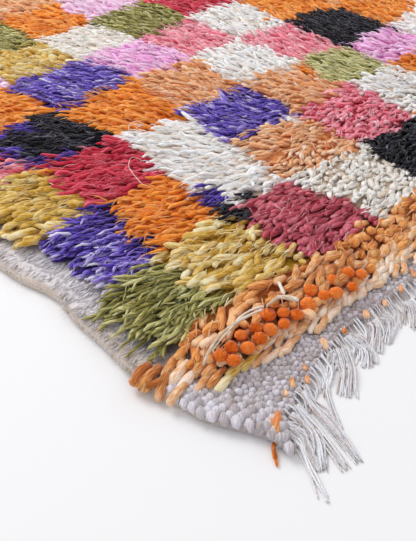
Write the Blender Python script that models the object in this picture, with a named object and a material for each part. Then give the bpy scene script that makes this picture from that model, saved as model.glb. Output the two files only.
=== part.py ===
"""Moroccan pile rug, lying flat.

A flat woven ground has thick felted selvedges down both sides and a narrow flatwoven band at
both ends. It carries a long, lumpy wool pile knotted in checks, whose outermost tufts lean out
over the ground as locks. The cut warp ends make a fringe of string bundles at each end.
Metres, +Z up. The origin is under the middle of the rug, where it rests, and +Y runs along it.
"""
import math

import bmesh
import bpy
from mathutils import Vector, noise

# Driving dimensions
COLUMN_PITCH = 0.100        # width of one check
ROW_PITCH = 0.095           # length of one check
COLUMNS = 9
PILE_START_Y = -0.530       # nominal front line of the pile
END_ROW = 0.055             # the first row of checks is only this deep

GROUND_WIDTH = 0.870
GROUND_LENGTH = 1.120
ACROSS_STEP = 0.055         # between the ground's vertices away from its edges
ALONG_STEP = 0.038
GROUND_THICKNESS = 0.0065
SELVEDGE_THICKNESS = 0.0095
SELVEDGE_FLAT = 0.010       # full thickness as far in as this
SELVEDGE_EASE = 0.025       # back to the ground's thickness here
EDGE_ROUND = 0.004          # rounding of the outer edge
WEFT_PITCH = 0.008          # packed weft ridges of the flatwoven ends
WEFT_RISE = 0.0010
WEFT_BAND = 0.024
UNDER_INSET = 0.003         # the underside starts this far in from the edge

GAP = 0.0003                # pieces stay this far apart
PILE_TOP = 0.0235           # in the valleys between checks
CHECK_CROWN = 0.0048        # how much higher a check's middle stands
CHECK_UNEVEN = 0.0018       # checks clipped higher or lower than the next
TUFT_UNEVEN = 0.0030        # lumps within a check
SHOULDER_WIDTH = 0.030      # the pile rounds down over this width at its rim
SHOULDER_TOP = 0.0190
LOCK_UNDERSIDE = 0.0118     # locks start above this height
LOCK_LENGTH = 0.026
LOCK_VARIES = 0.005
LOCK_SWING = 0.13           # sideways, as a share of its cell
LOCK_DROOP = 0.0030
LOCK_RINGS = [              # reach, scale and droop, as shares of the whole lock
    (0.5, 0.74, 0.25),
    (1.0, 0.30, 1.0),
]
LUMP_SIZE = 0.035           # from one lump of the pile to the next
LOCK_CELLS_ACROSS = 32      # pile cells, and so locks, along each end
LOCK_CELLS_ALONG = 42       # and along each side

STRIP_DEPTH = 0.0060        # narrow strip that the warp strings leave from
STRIP_BACK = 0.0050
STRAND_TOP = 0.0035         # strings are this high where they leave the strip
STRAND_WIDTH = 0.0060
STRAND_RINGS = [            # reach, width, height, share of the lean reached there
    (0.5, 0.0042, 0.0030, 0.75),
    (1.0, 0.0020, 0.0018, 1.0),
]
STRANDS = 3                 # in one bundle
STRAND_SPLAY = 4.0          # degrees between the strands of a bundle
STRIP_GAP = 0.0005          # slants at the corner, where it leaves about GAP
CORNER_CLEAR = 0.001        # a bend of the strip this near a bundle is left out

# Left selvedge seen from above: along the rug, across it (mm)
LEFT_SELVEDGE = [
    (-608, -405), (-581, -405), (-558, -417), (-531, -427), (-503, -434), (-466, -440),
    (-424, -436), (-379, -435), (-339, -427), (-302, -439), (-272, -443), (-180, -437),
    (-60, -441), (70, -434), (200, -440), (330, -434), (450, -439), (530, -433), (562, -424),
]
# Right selvedge: along the rug, across it (mm)
RIGHT_SELVEDGE = [
    (-568, 424), (-530, 432), (-430, 438), (-310, 433), (-190, 440), (-60, 435), (80, 441),
    (210, 434), (340, 439), (460, 435), (530, 431), (564, 422),
]
# End where the warp was cut first: across the rug, along it (mm)
NEAR_END = [
    (-405, -608), (-383, -580), (-363, -572), (-340, -567), (-320, -562), (-295, -555),
    (-272, -553), (-240, -553), (-220, -558), (-196, -562), (-169, -558), (-90, -561),
    (0, -556), (100, -562), (200, -557), (300, -563), (390, -560), (424, -568),
]
# Far end: across the rug, along it (mm)
FAR_END = [
    (-424, 562), (-380, 560), (-280, 563), (-170, 558), (-60, 562), (60, 559), (170, 563),
    (280, 558), (370, 561), (422, 564),
]
# Foot of the pile on the left: along the rug, across it (mm)
PILE_LEFT = [
    (-508, -396), (-477, -399), (-432, -397), (-396, -397), (-366, -387), (-325, -387),
    (-283, -394), (-251, -401), (-120, -400), (20, -405), (160, -399), (300, -404),
    (430, -400), (522, -398),
]
# Foot of the pile on the right: along the rug, across it (mm)
PILE_RIGHT = [
    (-520, 398), (-400, 403), (-260, 399), (-120, 404), (40, 400), (180, 405), (320, 400),
    (440, 403), (521, 397),
]
# Foot of the pile at the near end: across the rug, along it (mm)
PILE_NEAR = [
    (-396, -508), (-340, -512), (-290, -516), (-218, -522), (-157, -524), (-40, -520),
    (90, -525), (210, -519), (320, -523), (398, -520),
]
# Foot of the pile at the far end: across the rug, along it (mm)
PILE_FAR = [
    (-398, 522), (-280, 525), (-150, 520), (-10, 524), (130, 519), (260, 524), (397, 521),
]
# First string bundles of the near end: root across the rug (mm), lean to the left, length (mm)
FIRST_BUNDLES = [
    (-395, 19, 63), (-375, 8, 50), (-353, 4, 70), (-306, 28, 52), (-278, 30, 40),
    (-252, 22, 40), (-226, 16, 44),
]
BUNDLE_PITCH = 0.036
LAST_BUNDLE_X = 0.412
BUNDLE_LENGTH = 0.056
BUNDLE_LENGTH_VARIES = 0.008
BUNDLE_LEAN = 16.0
BUNDLE_LEAN_VARIES = 9.0


def clear_scene():
    for old in list(bpy.data.objects):
        bpy.data.objects.remove(old, do_unlink=True)


def plain_material(name, colour, roughness):
    material = bpy.data.materials.new(name)
    material.use_nodes = True
    shader = material.node_tree.nodes["Principled BSDF"]
    shader.inputs["Base Color"].default_value = (*colour, 1.0)
    shader.inputs["Roughness"].default_value = roughness
    shader.inputs["Metallic"].default_value = 0.0
    return material


def add_object(name, shape, material):
    """Turn a finished bmesh into a named, smooth shaded object."""
    bmesh.ops.recalc_face_normals(shape, faces=shape.faces[:])
    mesh = bpy.data.meshes.new(name)
    shape.to_mesh(mesh)
    shape.free()
    mesh.shade_smooth()
    mesh.materials.append(material)
    piece = bpy.data.objects.new(name, mesh)
    bpy.context.collection.objects.link(piece)
    return piece


def smoothstep(value):
    value = max(0.0, min(1.0, value))
    return value * value * (3.0 - 2.0 * value)


def read_table(table, at):
    """Straight-line reading of a two-column table, in metres."""
    at_mm = at * 1000.0
    if at_mm <= table[0][0]:
        return table[0][1] / 1000.0
    for (start, low), (end, high) in zip(table, table[1:]):
        if at_mm <= end:
            share = (at_mm - start) / (end - start)
            return (low + (high - low) * share) / 1000.0
    return table[-1][1] / 1000.0


class Outline:
    """A four-sided patch between two sides (x read along y) and two ends (y read along x)."""

    def __init__(self, left, right, near, far):
        self.left = left
        self.right = right
        self.near = near
        self.far = far

    @staticmethod
    def side(table, share):
        y = (table[0][0] + (table[-1][0] - table[0][0]) * share) / 1000.0
        return Vector((read_table(table, y), y))

    @staticmethod
    def end(table, share):
        x = (table[0][0] + (table[-1][0] - table[0][0]) * share) / 1000.0
        return Vector((x, read_table(table, x)))

    def point(self, across, along):
        """Plan position at shares 0 to 1 across and along the patch."""
        sides = self.side(self.left, along).lerp(self.side(self.right, along), across)
        ends = self.end(self.near, across).lerp(self.end(self.far, across), along)
        near_corners = self.side(self.left, 0.0).lerp(self.side(self.right, 0.0), across)
        far_corners = self.side(self.left, 1.0).lerp(self.side(self.right, 1.0), across)
        return sides + ends - near_corners.lerp(far_corners, along)


def edge_stations(length, from_edge, middle_step):
    """Shares along a length: the same offsets from both edges, and even steps between them."""
    first = from_edge[-1]
    count = round((length - 2.0 * first) / middle_step)
    middle = [first + (length - 2.0 * first) * step / count for step in range(1, count)]
    far_side = [length - offset for offset in reversed(from_edge)]
    return [offset / length for offset in from_edge + middle + far_side]


def rim_indices(columns, rows):
    """Grid places round the rim of a patch, in order, each once."""
    rim = [(column, 0) for column in range(columns)]
    rim += [(columns - 1, row) for row in range(1, rows)]
    rim += [(column, rows - 1) for column in range(columns - 2, -1, -1)]
    rim += [(0, row) for row in range(rows - 2, 0, -1)]
    return rim


def patch_top(shape, outline, across, along, height):
    """Grid of vertices over an outline, at the height that the function gives, with its faces."""
    grid = []
    for share_along in along:
        row = []
        for share_across in across:
            plan = outline.point(share_across, share_along)
            row.append(shape.verts.new((plan.x, plan.y, height(share_across, share_along, plan))))
        grid.append(row)
    for low, high in zip(grid, grid[1:]):
        for column in range(len(across) - 1):
            shape.faces.new((low[column], low[column + 1], high[column + 1], high[column]))
    return grid


def inset_ring(shape, outline, rim, across, along, inset, z):
    """Ring of vertices that follows the rim from a little way inside it."""
    width = outline.point(1.0, 0.5).x - outline.point(0.0, 0.5).x
    length = outline.point(0.5, 1.0).y - outline.point(0.5, 0.0).y
    share_x = inset / width
    share_y = inset / length
    ring = []
    for column, row in rim:
        inner_across = share_x + across[column] * (1.0 - 2.0 * share_x)
        inner_along = share_y + along[row] * (1.0 - 2.0 * share_y)
        plan = outline.point(inner_across, inner_along)
        ring.append(shape.verts.new((plan.x, plan.y, z)))
    return ring


def join_rings(shape, upper, lower):
    for index, vertex in enumerate(upper):
        following = (index + 1) % len(upper)
        shape.faces.new((vertex, lower[index], lower[following], upper[following]))


def close_underside(shape, ring):
    flat = shape.faces.new(list(reversed(ring)))
    bmesh.ops.triangulate(shape, faces=[flat])


GROUND_OUTLINE = Outline(LEFT_SELVEDGE, RIGHT_SELVEDGE, NEAR_END, FAR_END)
PILE_OUTLINE = Outline(PILE_LEFT, PILE_RIGHT, PILE_NEAR, PILE_FAR)
SELVEDGE_STEPS = [0.0, 0.002, 0.005, SELVEDGE_FLAT, 0.018, SELVEDGE_EASE]
END_STEPS = [0.0, 0.002] + [WEFT_PITCH / 2 * step for step in range(1, 7)]
GROUND_ACROSS = edge_stations(GROUND_WIDTH, SELVEDGE_STEPS, ACROSS_STEP)
GROUND_ALONG = edge_stations(GROUND_LENGTH, END_STEPS, ALONG_STEP)


def ground_height(across, along, _plan):
    """Top of the ground: selvedge bead, weft ridges at the ends, rounded outer edge."""
    from_side = min(across, 1.0 - across) * GROUND_WIDTH
    from_end = min(along, 1.0 - along) * GROUND_LENGTH
    bead = 1.0 - smoothstep((from_side - SELVEDGE_FLAT) / (SELVEDGE_EASE - SELVEDGE_FLAT))
    top = GROUND_THICKNESS + (SELVEDGE_THICKNESS - GROUND_THICKNESS) * bead
    if from_end < WEFT_BAND:
        top += WEFT_RISE * 0.5 * (1.0 - math.cos(math.tau * from_end / WEFT_PITCH))
    from_edge = min(from_side, from_end)
    if from_edge < EDGE_ROUND:
        top *= 0.5 + 0.5 * math.sqrt(1.0 - (1.0 - from_edge / EDGE_ROUND) ** 2)
    return top


def build_ground():
    shape = bmesh.new()
    grid = patch_top(shape, GROUND_OUTLINE, GROUND_ACROSS, GROUND_ALONG, ground_height)
    rim = rim_indices(len(GROUND_ACROSS), len(GROUND_ALONG))
    outer = [grid[row][column] for column, row in rim]
    under = inset_ring(shape, GROUND_OUTLINE, rim, GROUND_ACROSS, GROUND_ALONG, UNDER_INSET, 0.0)
    join_rings(shape, outer, under)
    close_underside(shape, under)
    return add_object("ground_weave", shape, plain_material("ground_wool", (0.66, 0.62, 0.60), 0.95))


def check_at(plan):
    """Column and row of the check above a plan point, and how far through it the point is."""
    column_share = plan.x / COLUMN_PITCH + COLUMNS / 2
    row_share = (plan.y - PILE_START_Y - END_ROW) / ROW_PITCH
    column = math.floor(column_share)
    row = math.floor(row_share)
    return column, row, column_share - column, row_share - row


def pile_height(across, along, plan):
    """Lumpy top of the pile: a crown on each check, uneven clipping, and a rounded rim."""
    column, row, part_across, part_along = check_at(plan)
    crown = math.sqrt(math.sin(math.pi * part_across) * math.sin(math.pi * part_along))
    clipped = math.sin(column * 2.4 + row * 1.7 + 0.6)
    lumps = noise.noise(Vector((plan.x / LUMP_SIZE, plan.y / LUMP_SIZE, 0.0)))
    top = PILE_TOP + CHECK_CROWN * crown + CHECK_UNEVEN * clipped + TUFT_UNEVEN * lumps
    from_side = min(across, 1.0 - across) * (COLUMNS * COLUMN_PITCH)
    from_end = min(along, 1.0 - along) * GROUND_LENGTH
    shoulder = smoothstep(min(from_side, from_end) / SHOULDER_WIDTH)
    return SHOULDER_TOP + (top - SHOULDER_TOP) * shoulder


def grow_lock(shape, wall, index):
    """Grow one tapered lock out of a wall face given as left top, right top, right low, left low."""
    corners = [vertex.co.copy() for vertex in wall]
    middle = sum(corners, Vector()) / 4.0
    run = corners[1] - corners[0]
    outward = Vector((run.y, -run.x, 0.0)).normalized()
    length = LOCK_LENGTH + LOCK_VARIES * math.sin(index * 2.3)
    swing = run * LOCK_SWING * math.sin(index * 1.7)
    rings = [wall]
    for reach, scale, droop in LOCK_RINGS:
        centre = middle + outward * length * reach + swing * reach
        centre.z -= LOCK_DROOP * droop
        rings.append([shape.verts.new(centre + (corner - middle) * scale) for corner in corners])
    for inner, outer in zip(rings, rings[1:]):
        for side in range(4):
            following = (side + 1) % 4
            shape.faces.new((inner[side], inner[following], outer[following], outer[side]))
    shape.faces.new(rings[-1])


def build_pile():
    shape = bmesh.new()
    across = [step / LOCK_CELLS_ACROSS for step in range(LOCK_CELLS_ACROSS + 1)]
    along = [step / LOCK_CELLS_ALONG for step in range(LOCK_CELLS_ALONG + 1)]
    grid = patch_top(shape, PILE_OUTLINE, across, along, pile_height)
    rim = rim_indices(len(across), len(along))
    shoulder = [grid[row][column] for column, row in rim]
    underside = [shape.verts.new((*vertex.co.xy, LOCK_UNDERSIDE)) for vertex in shoulder]
    for index, vertex in enumerate(shoulder):
        following = (index + 1) % len(shoulder)
        wall = [vertex, shoulder[following], underside[following], underside[index]]
        grow_lock(shape, wall, index)
    foot_z = GROUND_THICKNESS + GAP
    foot = inset_ring(shape, PILE_OUTLINE, rim, across, along, UNDER_INSET, foot_z)
    join_rings(shape, underside, foot)
    close_underside(shape, foot)
    return add_object("pile", shape, plain_material("pile_wool", (0.78, 0.36, 0.16), 0.9))


def end_edge(along, x):
    """The ground's end line at x, straight between the ground's own vertices."""
    points = [GROUND_OUTLINE.point(across, along) for across in GROUND_ACROSS]
    for start, end in zip(points, points[1:]):
        if x <= end.x:
            return start.y + (end.y - start.y) * (x - start.x) / (end.x - start.x)
    return points[-1].y


def bundle_rows(first):
    """Root, lean and length of each bundle: the given ones, then the rest at an even pitch."""
    rows = [(x / 1000.0, lean, length / 1000.0) for x, lean, length in first]
    x = rows[-1][0] + BUNDLE_PITCH if rows else -LAST_BUNDLE_X
    while x <= LAST_BUNDLE_X:
        index = len(rows)
        lean = BUNDLE_LEAN + BUNDLE_LEAN_VARIES * math.sin(index * 0.5)
        length = BUNDLE_LENGTH + BUNDLE_LENGTH_VARIES * math.sin(index * 1.9)
        rows.append((x, lean, length))
        x += BUNDLE_PITCH
    return rows


def grow_strand(shape, root, lean, length, outward):
    """Grow a string lying level on the floor from a front face of the strip."""
    corners = [vertex.co.copy() for vertex in root]
    base = Vector(((corners[0].x + corners[1].x) / 2.0, (corners[0].y + corners[1].y) / 2.0, 0.0))
    rings = [root]
    for reach, width, top, turned in STRAND_RINGS:
        angle = math.radians(lean * turned)
        heading = Vector((-math.sin(angle), outward * math.cos(angle), 0.0))
        sideways = Vector((math.cos(angle), outward * math.sin(angle), 0.0)) * width / 2.0
        centre = base + heading * length * reach
        low_left = centre - sideways
        low_right = centre + sideways
        high = Vector((0.0, 0.0, top))
        places = (low_left, low_right, low_right + high, low_left + high)
        rings.append([shape.verts.new(place) for place in places])
    for inner, outer in zip(rings, rings[1:]):
        for side in range(4):
            following = (side + 1) % 4
            shape.faces.new((inner[side], inner[following], outer[following], outer[side]))
    shape.faces.new(rings[-1])


def build_fringe(name, along, outward, bundles, material):
    """A narrow strip along one end of the ground, with the bundles of warp strings fused to it."""
    half = STRANDS * STRAND_WIDTH / 2.0
    corners = sorted({
        point.x for point in (GROUND_OUTLINE.point(across, along) for across in GROUND_ACROSS)
    })
    stations = [(corners[0], None), (corners[-1], None)]
    for x, lean, length in bundles:
        for strand in range(STRANDS):
            swing = lean - (strand - (STRANDS - 1) / 2.0) * STRAND_SPLAY
            stations.append((x - half + strand * STRAND_WIDTH, (swing, length)))
        stations.append((x + half, None))
    taken = [(x - half, x + half) for x, _lean, _length in bundles]
    for x in corners[1:-1]:
        if not any(low - CORNER_CLEAR < x < high + CORNER_CLEAR for low, high in taken):
            stations.append((x, None))
    stations.sort(key=lambda station: station[0])

    shape = bmesh.new()
    sections = []
    for x, _strand in stations:
        back = end_edge(along, x) + outward * STRIP_GAP
        front = back + outward * STRIP_DEPTH
        places = ((x, back, 0.0), (x, back, STRIP_BACK), (x, front, STRAND_TOP), (x, front, 0.0))
        sections.append([shape.verts.new(place) for place in places])
    for (left, right), (_x, strand) in zip(zip(sections, sections[1:]), stations):
        for side in (0, 1, 3):
            following = (side + 1) % 4
            shape.faces.new((left[side], right[side], right[following], left[following]))
        root = [left[3], right[3], right[2], left[2]]
        if strand:
            swing, length = strand
            grow_strand(shape, root, swing, length, outward)
        else:
            shape.faces.new(root)
    shape.faces.new(sections[0])
    shape.faces.new(sections[-1])
    return add_object(name, shape, material)


clear_scene()
build_ground()
build_pile()
warp_string = plain_material("warp_string", (0.75, 0.72, 0.74), 0.85)
build_fringe("fringe_near", 0.0, -1.0, bundle_rows(FIRST_BUNDLES), warp_string)
build_fringe("fringe_far", 1.0, 1.0, bundle_rows([]), warp_string)
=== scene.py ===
# Hand-knotted wool shag rug from Morocco, lying flat, seen over one corner.
# Knotted pile, packed weft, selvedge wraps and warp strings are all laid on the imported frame.
import math
import bpy
import numpy as np
from mathutils import Vector, Matrix
from mathutils.bvhtree import BVHTree


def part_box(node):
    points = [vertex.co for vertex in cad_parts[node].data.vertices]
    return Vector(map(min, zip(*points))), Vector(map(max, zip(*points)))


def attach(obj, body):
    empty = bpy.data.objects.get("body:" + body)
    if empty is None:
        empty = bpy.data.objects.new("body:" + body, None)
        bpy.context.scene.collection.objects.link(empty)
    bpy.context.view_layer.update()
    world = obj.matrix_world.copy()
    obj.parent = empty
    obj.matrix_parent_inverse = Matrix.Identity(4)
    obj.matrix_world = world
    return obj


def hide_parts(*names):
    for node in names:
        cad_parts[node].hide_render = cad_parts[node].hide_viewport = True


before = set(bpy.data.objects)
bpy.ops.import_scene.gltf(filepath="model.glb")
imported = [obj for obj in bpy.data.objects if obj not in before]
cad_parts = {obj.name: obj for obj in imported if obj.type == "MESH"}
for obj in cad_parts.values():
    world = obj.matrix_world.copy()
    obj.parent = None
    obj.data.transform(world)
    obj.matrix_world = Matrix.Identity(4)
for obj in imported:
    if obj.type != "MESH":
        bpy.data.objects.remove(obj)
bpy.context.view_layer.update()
mm = 0.001


# Small helpers

def deselectAll():
    if bpy.context.object and bpy.context.object.mode != "OBJECT":
        bpy.ops.object.mode_set(mode="OBJECT")
    bpy.ops.object.select_all(action="DESELECT")


def linearColour(hexValue):
    parts = [int(hexValue[i:i + 2], 16) / 255 for i in (1, 3, 5)]
    return tuple(p / 12.92 if p <= 0.04045 else ((p + 0.055) / 1.055) ** 2.4 for p in parts) + (1.0,)


def addNode(tree, kind, settings=None, links=None):
    node = tree.nodes.new(kind)
    for key, value in (settings or {}).items():
        if isinstance(key, int) or key in node.inputs:
            node.inputs[key].default_value = value
        else:
            setattr(node, key, value)
    for key, source in (links or {}).items():
        tree.links.new(source, node.inputs[key])
    return node


def ease(value):
    value = np.clip(value, 0.0, 1.0)
    return value * value * (3 - 2 * value)


def waves(x, y, size, seed=0.0):
    # soft uneven field from three crossed waves, about -1 to 1, one swell every `size`
    a = np.sin((x * 0.93 + y * 0.41) * math.tau / size + seed * 1.7)
    b = np.sin((x * -0.52 + y * 1.13) * math.tau / size * 0.83 + seed * 2.9 + 1.1)
    c = np.sin((x * 1.21 - y * 0.67) * math.tau / size * 1.37 + seed * 4.1 + 2.3)
    return (a + b + c) / 2.2


def smoothPath(path, parts=8):
    # soft curve through the given points
    padded = np.concatenate([path[:1] * 2 - path[1:2], path, path[-1:] * 2 - path[-2:-1]])
    share = (np.arange(parts) / parts)[:, None]
    curve = []
    for i in range(len(path) - 1):
        a, b, c, d = padded[i:i + 4]
        bend, twist = 2 * a - 5 * b + 4 * c - d, 3 * b - a - 3 * c + d
        curve.append(0.5 * (2 * b + (c - a) * share + bend * share ** 2 + twist * share ** 3))
    return np.concatenate(curve + [path[-1:]])


# Frame: where the ground's and the pile's edges lie, read with rays from outside

class Edges:
    def __init__(self, nodeName, height):
        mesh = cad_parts[nodeName].data
        self.height = height
        corners, faces = [v.co for v in mesh.vertices], [p.vertices for p in mesh.polygons]
        self.tree = BVHTree.FromPolygons(corners, faces)
        flat = np.array(corners)[:, :2]

        def furthest(x, y):
            return flat[np.argmax(flat[:, 0] * x + flat[:, 1] * y)]

        self.corners = {
            "nearLeft": furthest(-1, -1), "nearRight": furthest(1, -1),
            "farRight": furthest(1, 1), "farLeft": furthest(-1, 1),
        }

    def line(self, start, end, dx, dy, count):
        first, last = self.corners[start], self.corners[end]
        shares = np.linspace(0, 1, count)
        points = []
        for share in shares:
            base = first + (last - first) * share
            origin = Vector((base[0] - dx * 2, base[1] - dy * 2, self.height))
            found = self.tree.ray_cast(origin, Vector((dx, dy, 0)))[0]
            points.append(np.array(found[:2]) if found else base)
        points[0], points[-1] = first, last
        return shares, np.array(points)


class Patch:
    # four-sided patch inside a node's outline, read at shares across and along
    def __init__(self, edges, count=240):
        self.left = edges.line("nearLeft", "farLeft", 1, 0, count)
        self.right = edges.line("nearRight", "farRight", -1, 0, count)
        self.near = edges.line("nearLeft", "nearRight", 0, 1, count)
        self.far = edges.line("farLeft", "farRight", 0, -1, count)

    @staticmethod
    def read(side, share):
        return np.stack([np.interp(share, side[0], side[1][:, axis]) for axis in (0, 1)], -1)

    def at(self, across, along):
        s, t = across[..., None], along[..., None]
        sides = self.read(self.left, along) * (1 - s) + self.read(self.right, along) * s
        ends = self.read(self.near, across) * (1 - t) + self.read(self.far, across) * t
        low = self.left[1][0] * (1 - s) + self.right[1][0] * s
        high = self.left[1][-1] * (1 - s) + self.right[1][-1] * s
        return sides + ends - (low * (1 - t) + high * t)

    def distances(self, x, y):
        # how far a point lies inside each edge: left, right, near, far
        left = x - np.interp(y, self.left[1][:, 1], self.left[1][:, 0])
        right = np.interp(y, self.right[1][:, 1], self.right[1][:, 0]) - x
        near = y - np.interp(x, self.near[1][:, 0], self.near[1][:, 1])
        far = np.interp(x, self.far[1][:, 0], self.far[1][:, 1]) - y
        return left, right, near, far


groundEdges = Edges("ground_weave", 3.4 * mm)
pileEdges = Edges("pile", 8.0 * mm)
ground, pileFoot = Patch(groundEdges), Patch(pileEdges)
# the left edge swells out by a few millimetres behind the drawn-out corner
leftPlaces = ground.left[1]
swell = np.exp(-((leftPlaces[:, 1] + 545 * mm) / (35 * mm)) ** 2)
leftPlaces[:, 0] -= 6 * mm * swell * ease((leftPlaces[:, 1] + 608 * mm) / (20 * mm))
groundTop = 6.5 * mm
groundLow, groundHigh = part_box("ground_weave")
rugWidth, rugLength = groundHigh.x - groundLow.x, groundHigh.y - groundLow.y
print("frame read", round(rugWidth, 3), round(rugLength, 3))


# One soft strand is modelled once, then copied, bent and joined by the thousand

def modelStrand(name, sides, rings):
    # rings: height along the strand (0 to 1) and radius there; both ends close on a point
    deselectAll()
    bpy.ops.mesh.primitive_cylinder_add(vertices=sides, radius=1, depth=1, end_fill_type="TRIFAN",
                                        location=(0, 0, 0.5))
    bpy.ops.object.transform_apply(location=True, rotation=False, scale=False)
    strand = bpy.context.object
    strand.name = name
    bpy.ops.object.mode_set(mode="EDIT")
    for height, _ in rings[1:-1]:
        bpy.ops.mesh.select_all(action="SELECT")
        bpy.ops.mesh.bisect(plane_co=(0, 0, height), plane_no=(0, 0, 1))
    bpy.ops.object.mode_set(mode="OBJECT")
    for vertex in strand.data.vertices:
        height, radius = min(rings, key=lambda ring: abs(ring[0] - vertex.co.z))
        atPole = math.hypot(vertex.co.x, vertex.co.y) < 0.1
        if not atPole and height in (0.0, 1.0):
            height = abs(height - 0.35 * abs(rings[-1][0] - rings[-2][0]))
        vertex.co = (vertex.co.x * radius, vertex.co.y * radius, height)
    return strand


def readStrand(strand):
    # the strand's shape as plain numbers, so that copies of it can be bent and joined fast
    mesh = strand.data
    points = np.array([v.co for v in mesh.vertices])
    heights = np.unique(np.round(points[:, 2], 4))
    shape = {
        "heights": heights,
        "ring": np.abs(points[:, 2][:, None] - heights[None]).argmin(1),
        "x": points[:, 0],
        "y": points[:, 1],
        "corners": np.array([v for face in mesh.polygons for v in face.vertices]),
        "sizes": np.array([len(face.vertices) for face in mesh.polygons]),
    }
    turns, heightsOf = [], []
    for face in mesh.polygons:
        spots = [points[v] for v in face.vertices]
        angles = [math.atan2(p[1], p[0]) / math.tau % 1.0 for p in spots if math.hypot(p[0], p[1]) > 1e-4]
        wraps = max(angles) - min(angles) > 0.5
        lifted = [a + 1 if wraps and a < 0.5 else a for a in angles]
        middle = sum(lifted) / len(lifted)
        for p in spots:
            if math.hypot(p[0], p[1]) > 1e-4:
                turn = math.atan2(p[1], p[0]) / math.tau % 1.0
                turns.append(turn + 1 if wraps and turn < 0.5 else turn)
            else:
                turns.append(middle)
            heightsOf.append(p[2])
    shape["turn"], shape["along"] = np.array(turns), np.array(heightsOf)
    shape["triangles"] = int((shape["sizes"] - 2).sum())
    bpy.data.objects.remove(strand)
    return shape


def addFloats(mesh, floats):
    for key, values in floats.items():
        mesh.attributes.new(key, "FLOAT", "POINT").data.foreach_set("value", values.astype(np.float32))


def joinedMesh(name, points, corners, sizes, uv, floats):
    mesh = bpy.data.meshes.new(name)
    mesh.vertices.add(len(points))
    mesh.vertices.foreach_set("co", points.astype(np.float32).ravel())
    mesh.loops.add(len(corners))
    mesh.loops.foreach_set("vertex_index", corners.astype(np.int32))
    mesh.polygons.add(len(sizes))
    mesh.polygons.foreach_set("loop_start", np.concatenate([[0], np.cumsum(sizes)[:-1]]).astype(np.int32))
    mesh.update(calc_edges=True)
    mesh.uv_layers.new(name="strandMap").data.foreach_set("uv", uv.astype(np.float32).ravel())
    addFloats(mesh, floats)
    mesh.shade_smooth()
    piece = bpy.data.objects.new(name, mesh)
    bpy.context.scene.collection.objects.link(piece)
    return piece


def sweepCopies(name, shape, centres, radius, dice, flatness=1.0, tone=None, slub=0.10):
    # centres: copies x rings x 3, at the shape's heights; radius: one for each copy
    count, rings = centres.shape[:2]
    tangent = np.gradient(centres, axis=1)
    tangent /= np.linalg.norm(tangent, axis=2, keepdims=True) + 1e-12
    sideways = np.cross(tangent, (0.0, 0.0, 1.0))
    weak = np.linalg.norm(sideways, axis=2, keepdims=True)
    sideways = np.where(weak > 1e-3, sideways / np.maximum(weak, 1e-6), np.array((1.0, 0.0, 0.0)))
    sideways = sideways.mean(1, keepdims=True)
    upward = np.cross(sideways, tangent)
    upward /= np.linalg.norm(upward, axis=2, keepdims=True) + 1e-12
    sideways = np.cross(tangent, upward)
    thickness = radius[:, None] * (1 + slub * dice.normal(0, 1, (count, rings)))
    ring = shape["ring"]
    roll = dice.uniform(0, math.tau, (count, 1))
    x = shape["x"][None] * np.cos(roll) - shape["y"][None] * np.sin(roll)
    y = shape["x"][None] * np.sin(roll) + shape["y"][None] * np.cos(roll)
    r = thickness[:, ring]
    points = centres[:, ring] + sideways[:, ring] * (x * r)[..., None]
    points = points + upward[:, ring] * (y * r * flatness)[..., None]
    corners = shape["corners"][None] + (np.arange(count) * len(ring))[:, None]
    lengths = np.linalg.norm(np.diff(centres, axis=1), axis=2).sum(1)
    shift = dice.uniform(0, 900, (count, 2))
    u = shape["turn"][None] * math.tau * radius[:, None] / mm + shift[:, :1]
    v = shape["along"][None] * lengths[:, None] / mm + shift[:, 1:]
    floats = {"along": np.tile(shape["heights"][ring], count)}
    floats["tone"] = np.repeat(np.full(count, 0.5) if tone is None else tone, len(ring))
    return joinedMesh(name, points.reshape(-1, 3), corners.ravel(), np.tile(shape["sizes"], count),
                      np.stack([u.ravel(), v.ravel()], -1), floats)


def wearOn(piece, material):
    piece.data.materials.append(material)
    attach(piece, "root")
    return piece


# height along each strand (0 at the root, 1 at the tip) and how thick it is there (1 is full)
lockRings = [(0.0, 0.6), (0.38, 0.94), (0.62, 1.0), (0.85, 0.95), (1.0, 0.62)]
cordRings = [(0.0, 0.6), (0.42, 0.95), (0.68, 1.0), (0.88, 1.0), (1.0, 0.7)]
ballRings = [(0.0, 0.7), (0.6, 1.0), (0.82, 0.96), (0.94, 0.78), (1.0, 0.5)]
wrapRings = [(0.0, 0.5), (0.2, 0.9), (0.4, 1.0), (0.6, 1.0), (0.8, 0.9), (1.0, 0.5)]
lockShape = readStrand(modelStrand("drawnLock", 4, lockRings))
cordShape = readStrand(modelStrand("cutCord", 6, cordRings))
fineShape = readStrand(modelStrand("fineLock", 4, [(0.0, 0.6), (0.4, 1.0), (0.78, 0.98), (1.0, 0.60)]))
beadShape = readStrand(modelStrand("weftBead", 6, [(0.0, 0.6), (0.5, 1.0), (1.0, 0.6)]))
ballShape = readStrand(modelStrand("knotEnd", 8, ballRings))
wrapShape = readStrand(modelStrand("edgeWrap", 5, wrapRings))
stringShape = readStrand(modelStrand("warpString", 5, [(i / 7, 1.0) for i in range(8)]))
loopShape = readStrand(modelStrand("warpLoop", 5, [(i / 16, 1.0) for i in range(17)]))
fleeceShape = readStrand(modelStrand("fleeceHair", 3, [(0.0, 1.0), (1.0, 0.5)]))
hairShape = readStrand(modelStrand("woolHair", 3, [(0.0, 1.0), (0.5, 0.9), (1.0, 0.4)]))
print("strands modelled", [shape["triangles"] for shape in (lockShape, cordShape, fineShape, beadShape)])


# Materials

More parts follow.
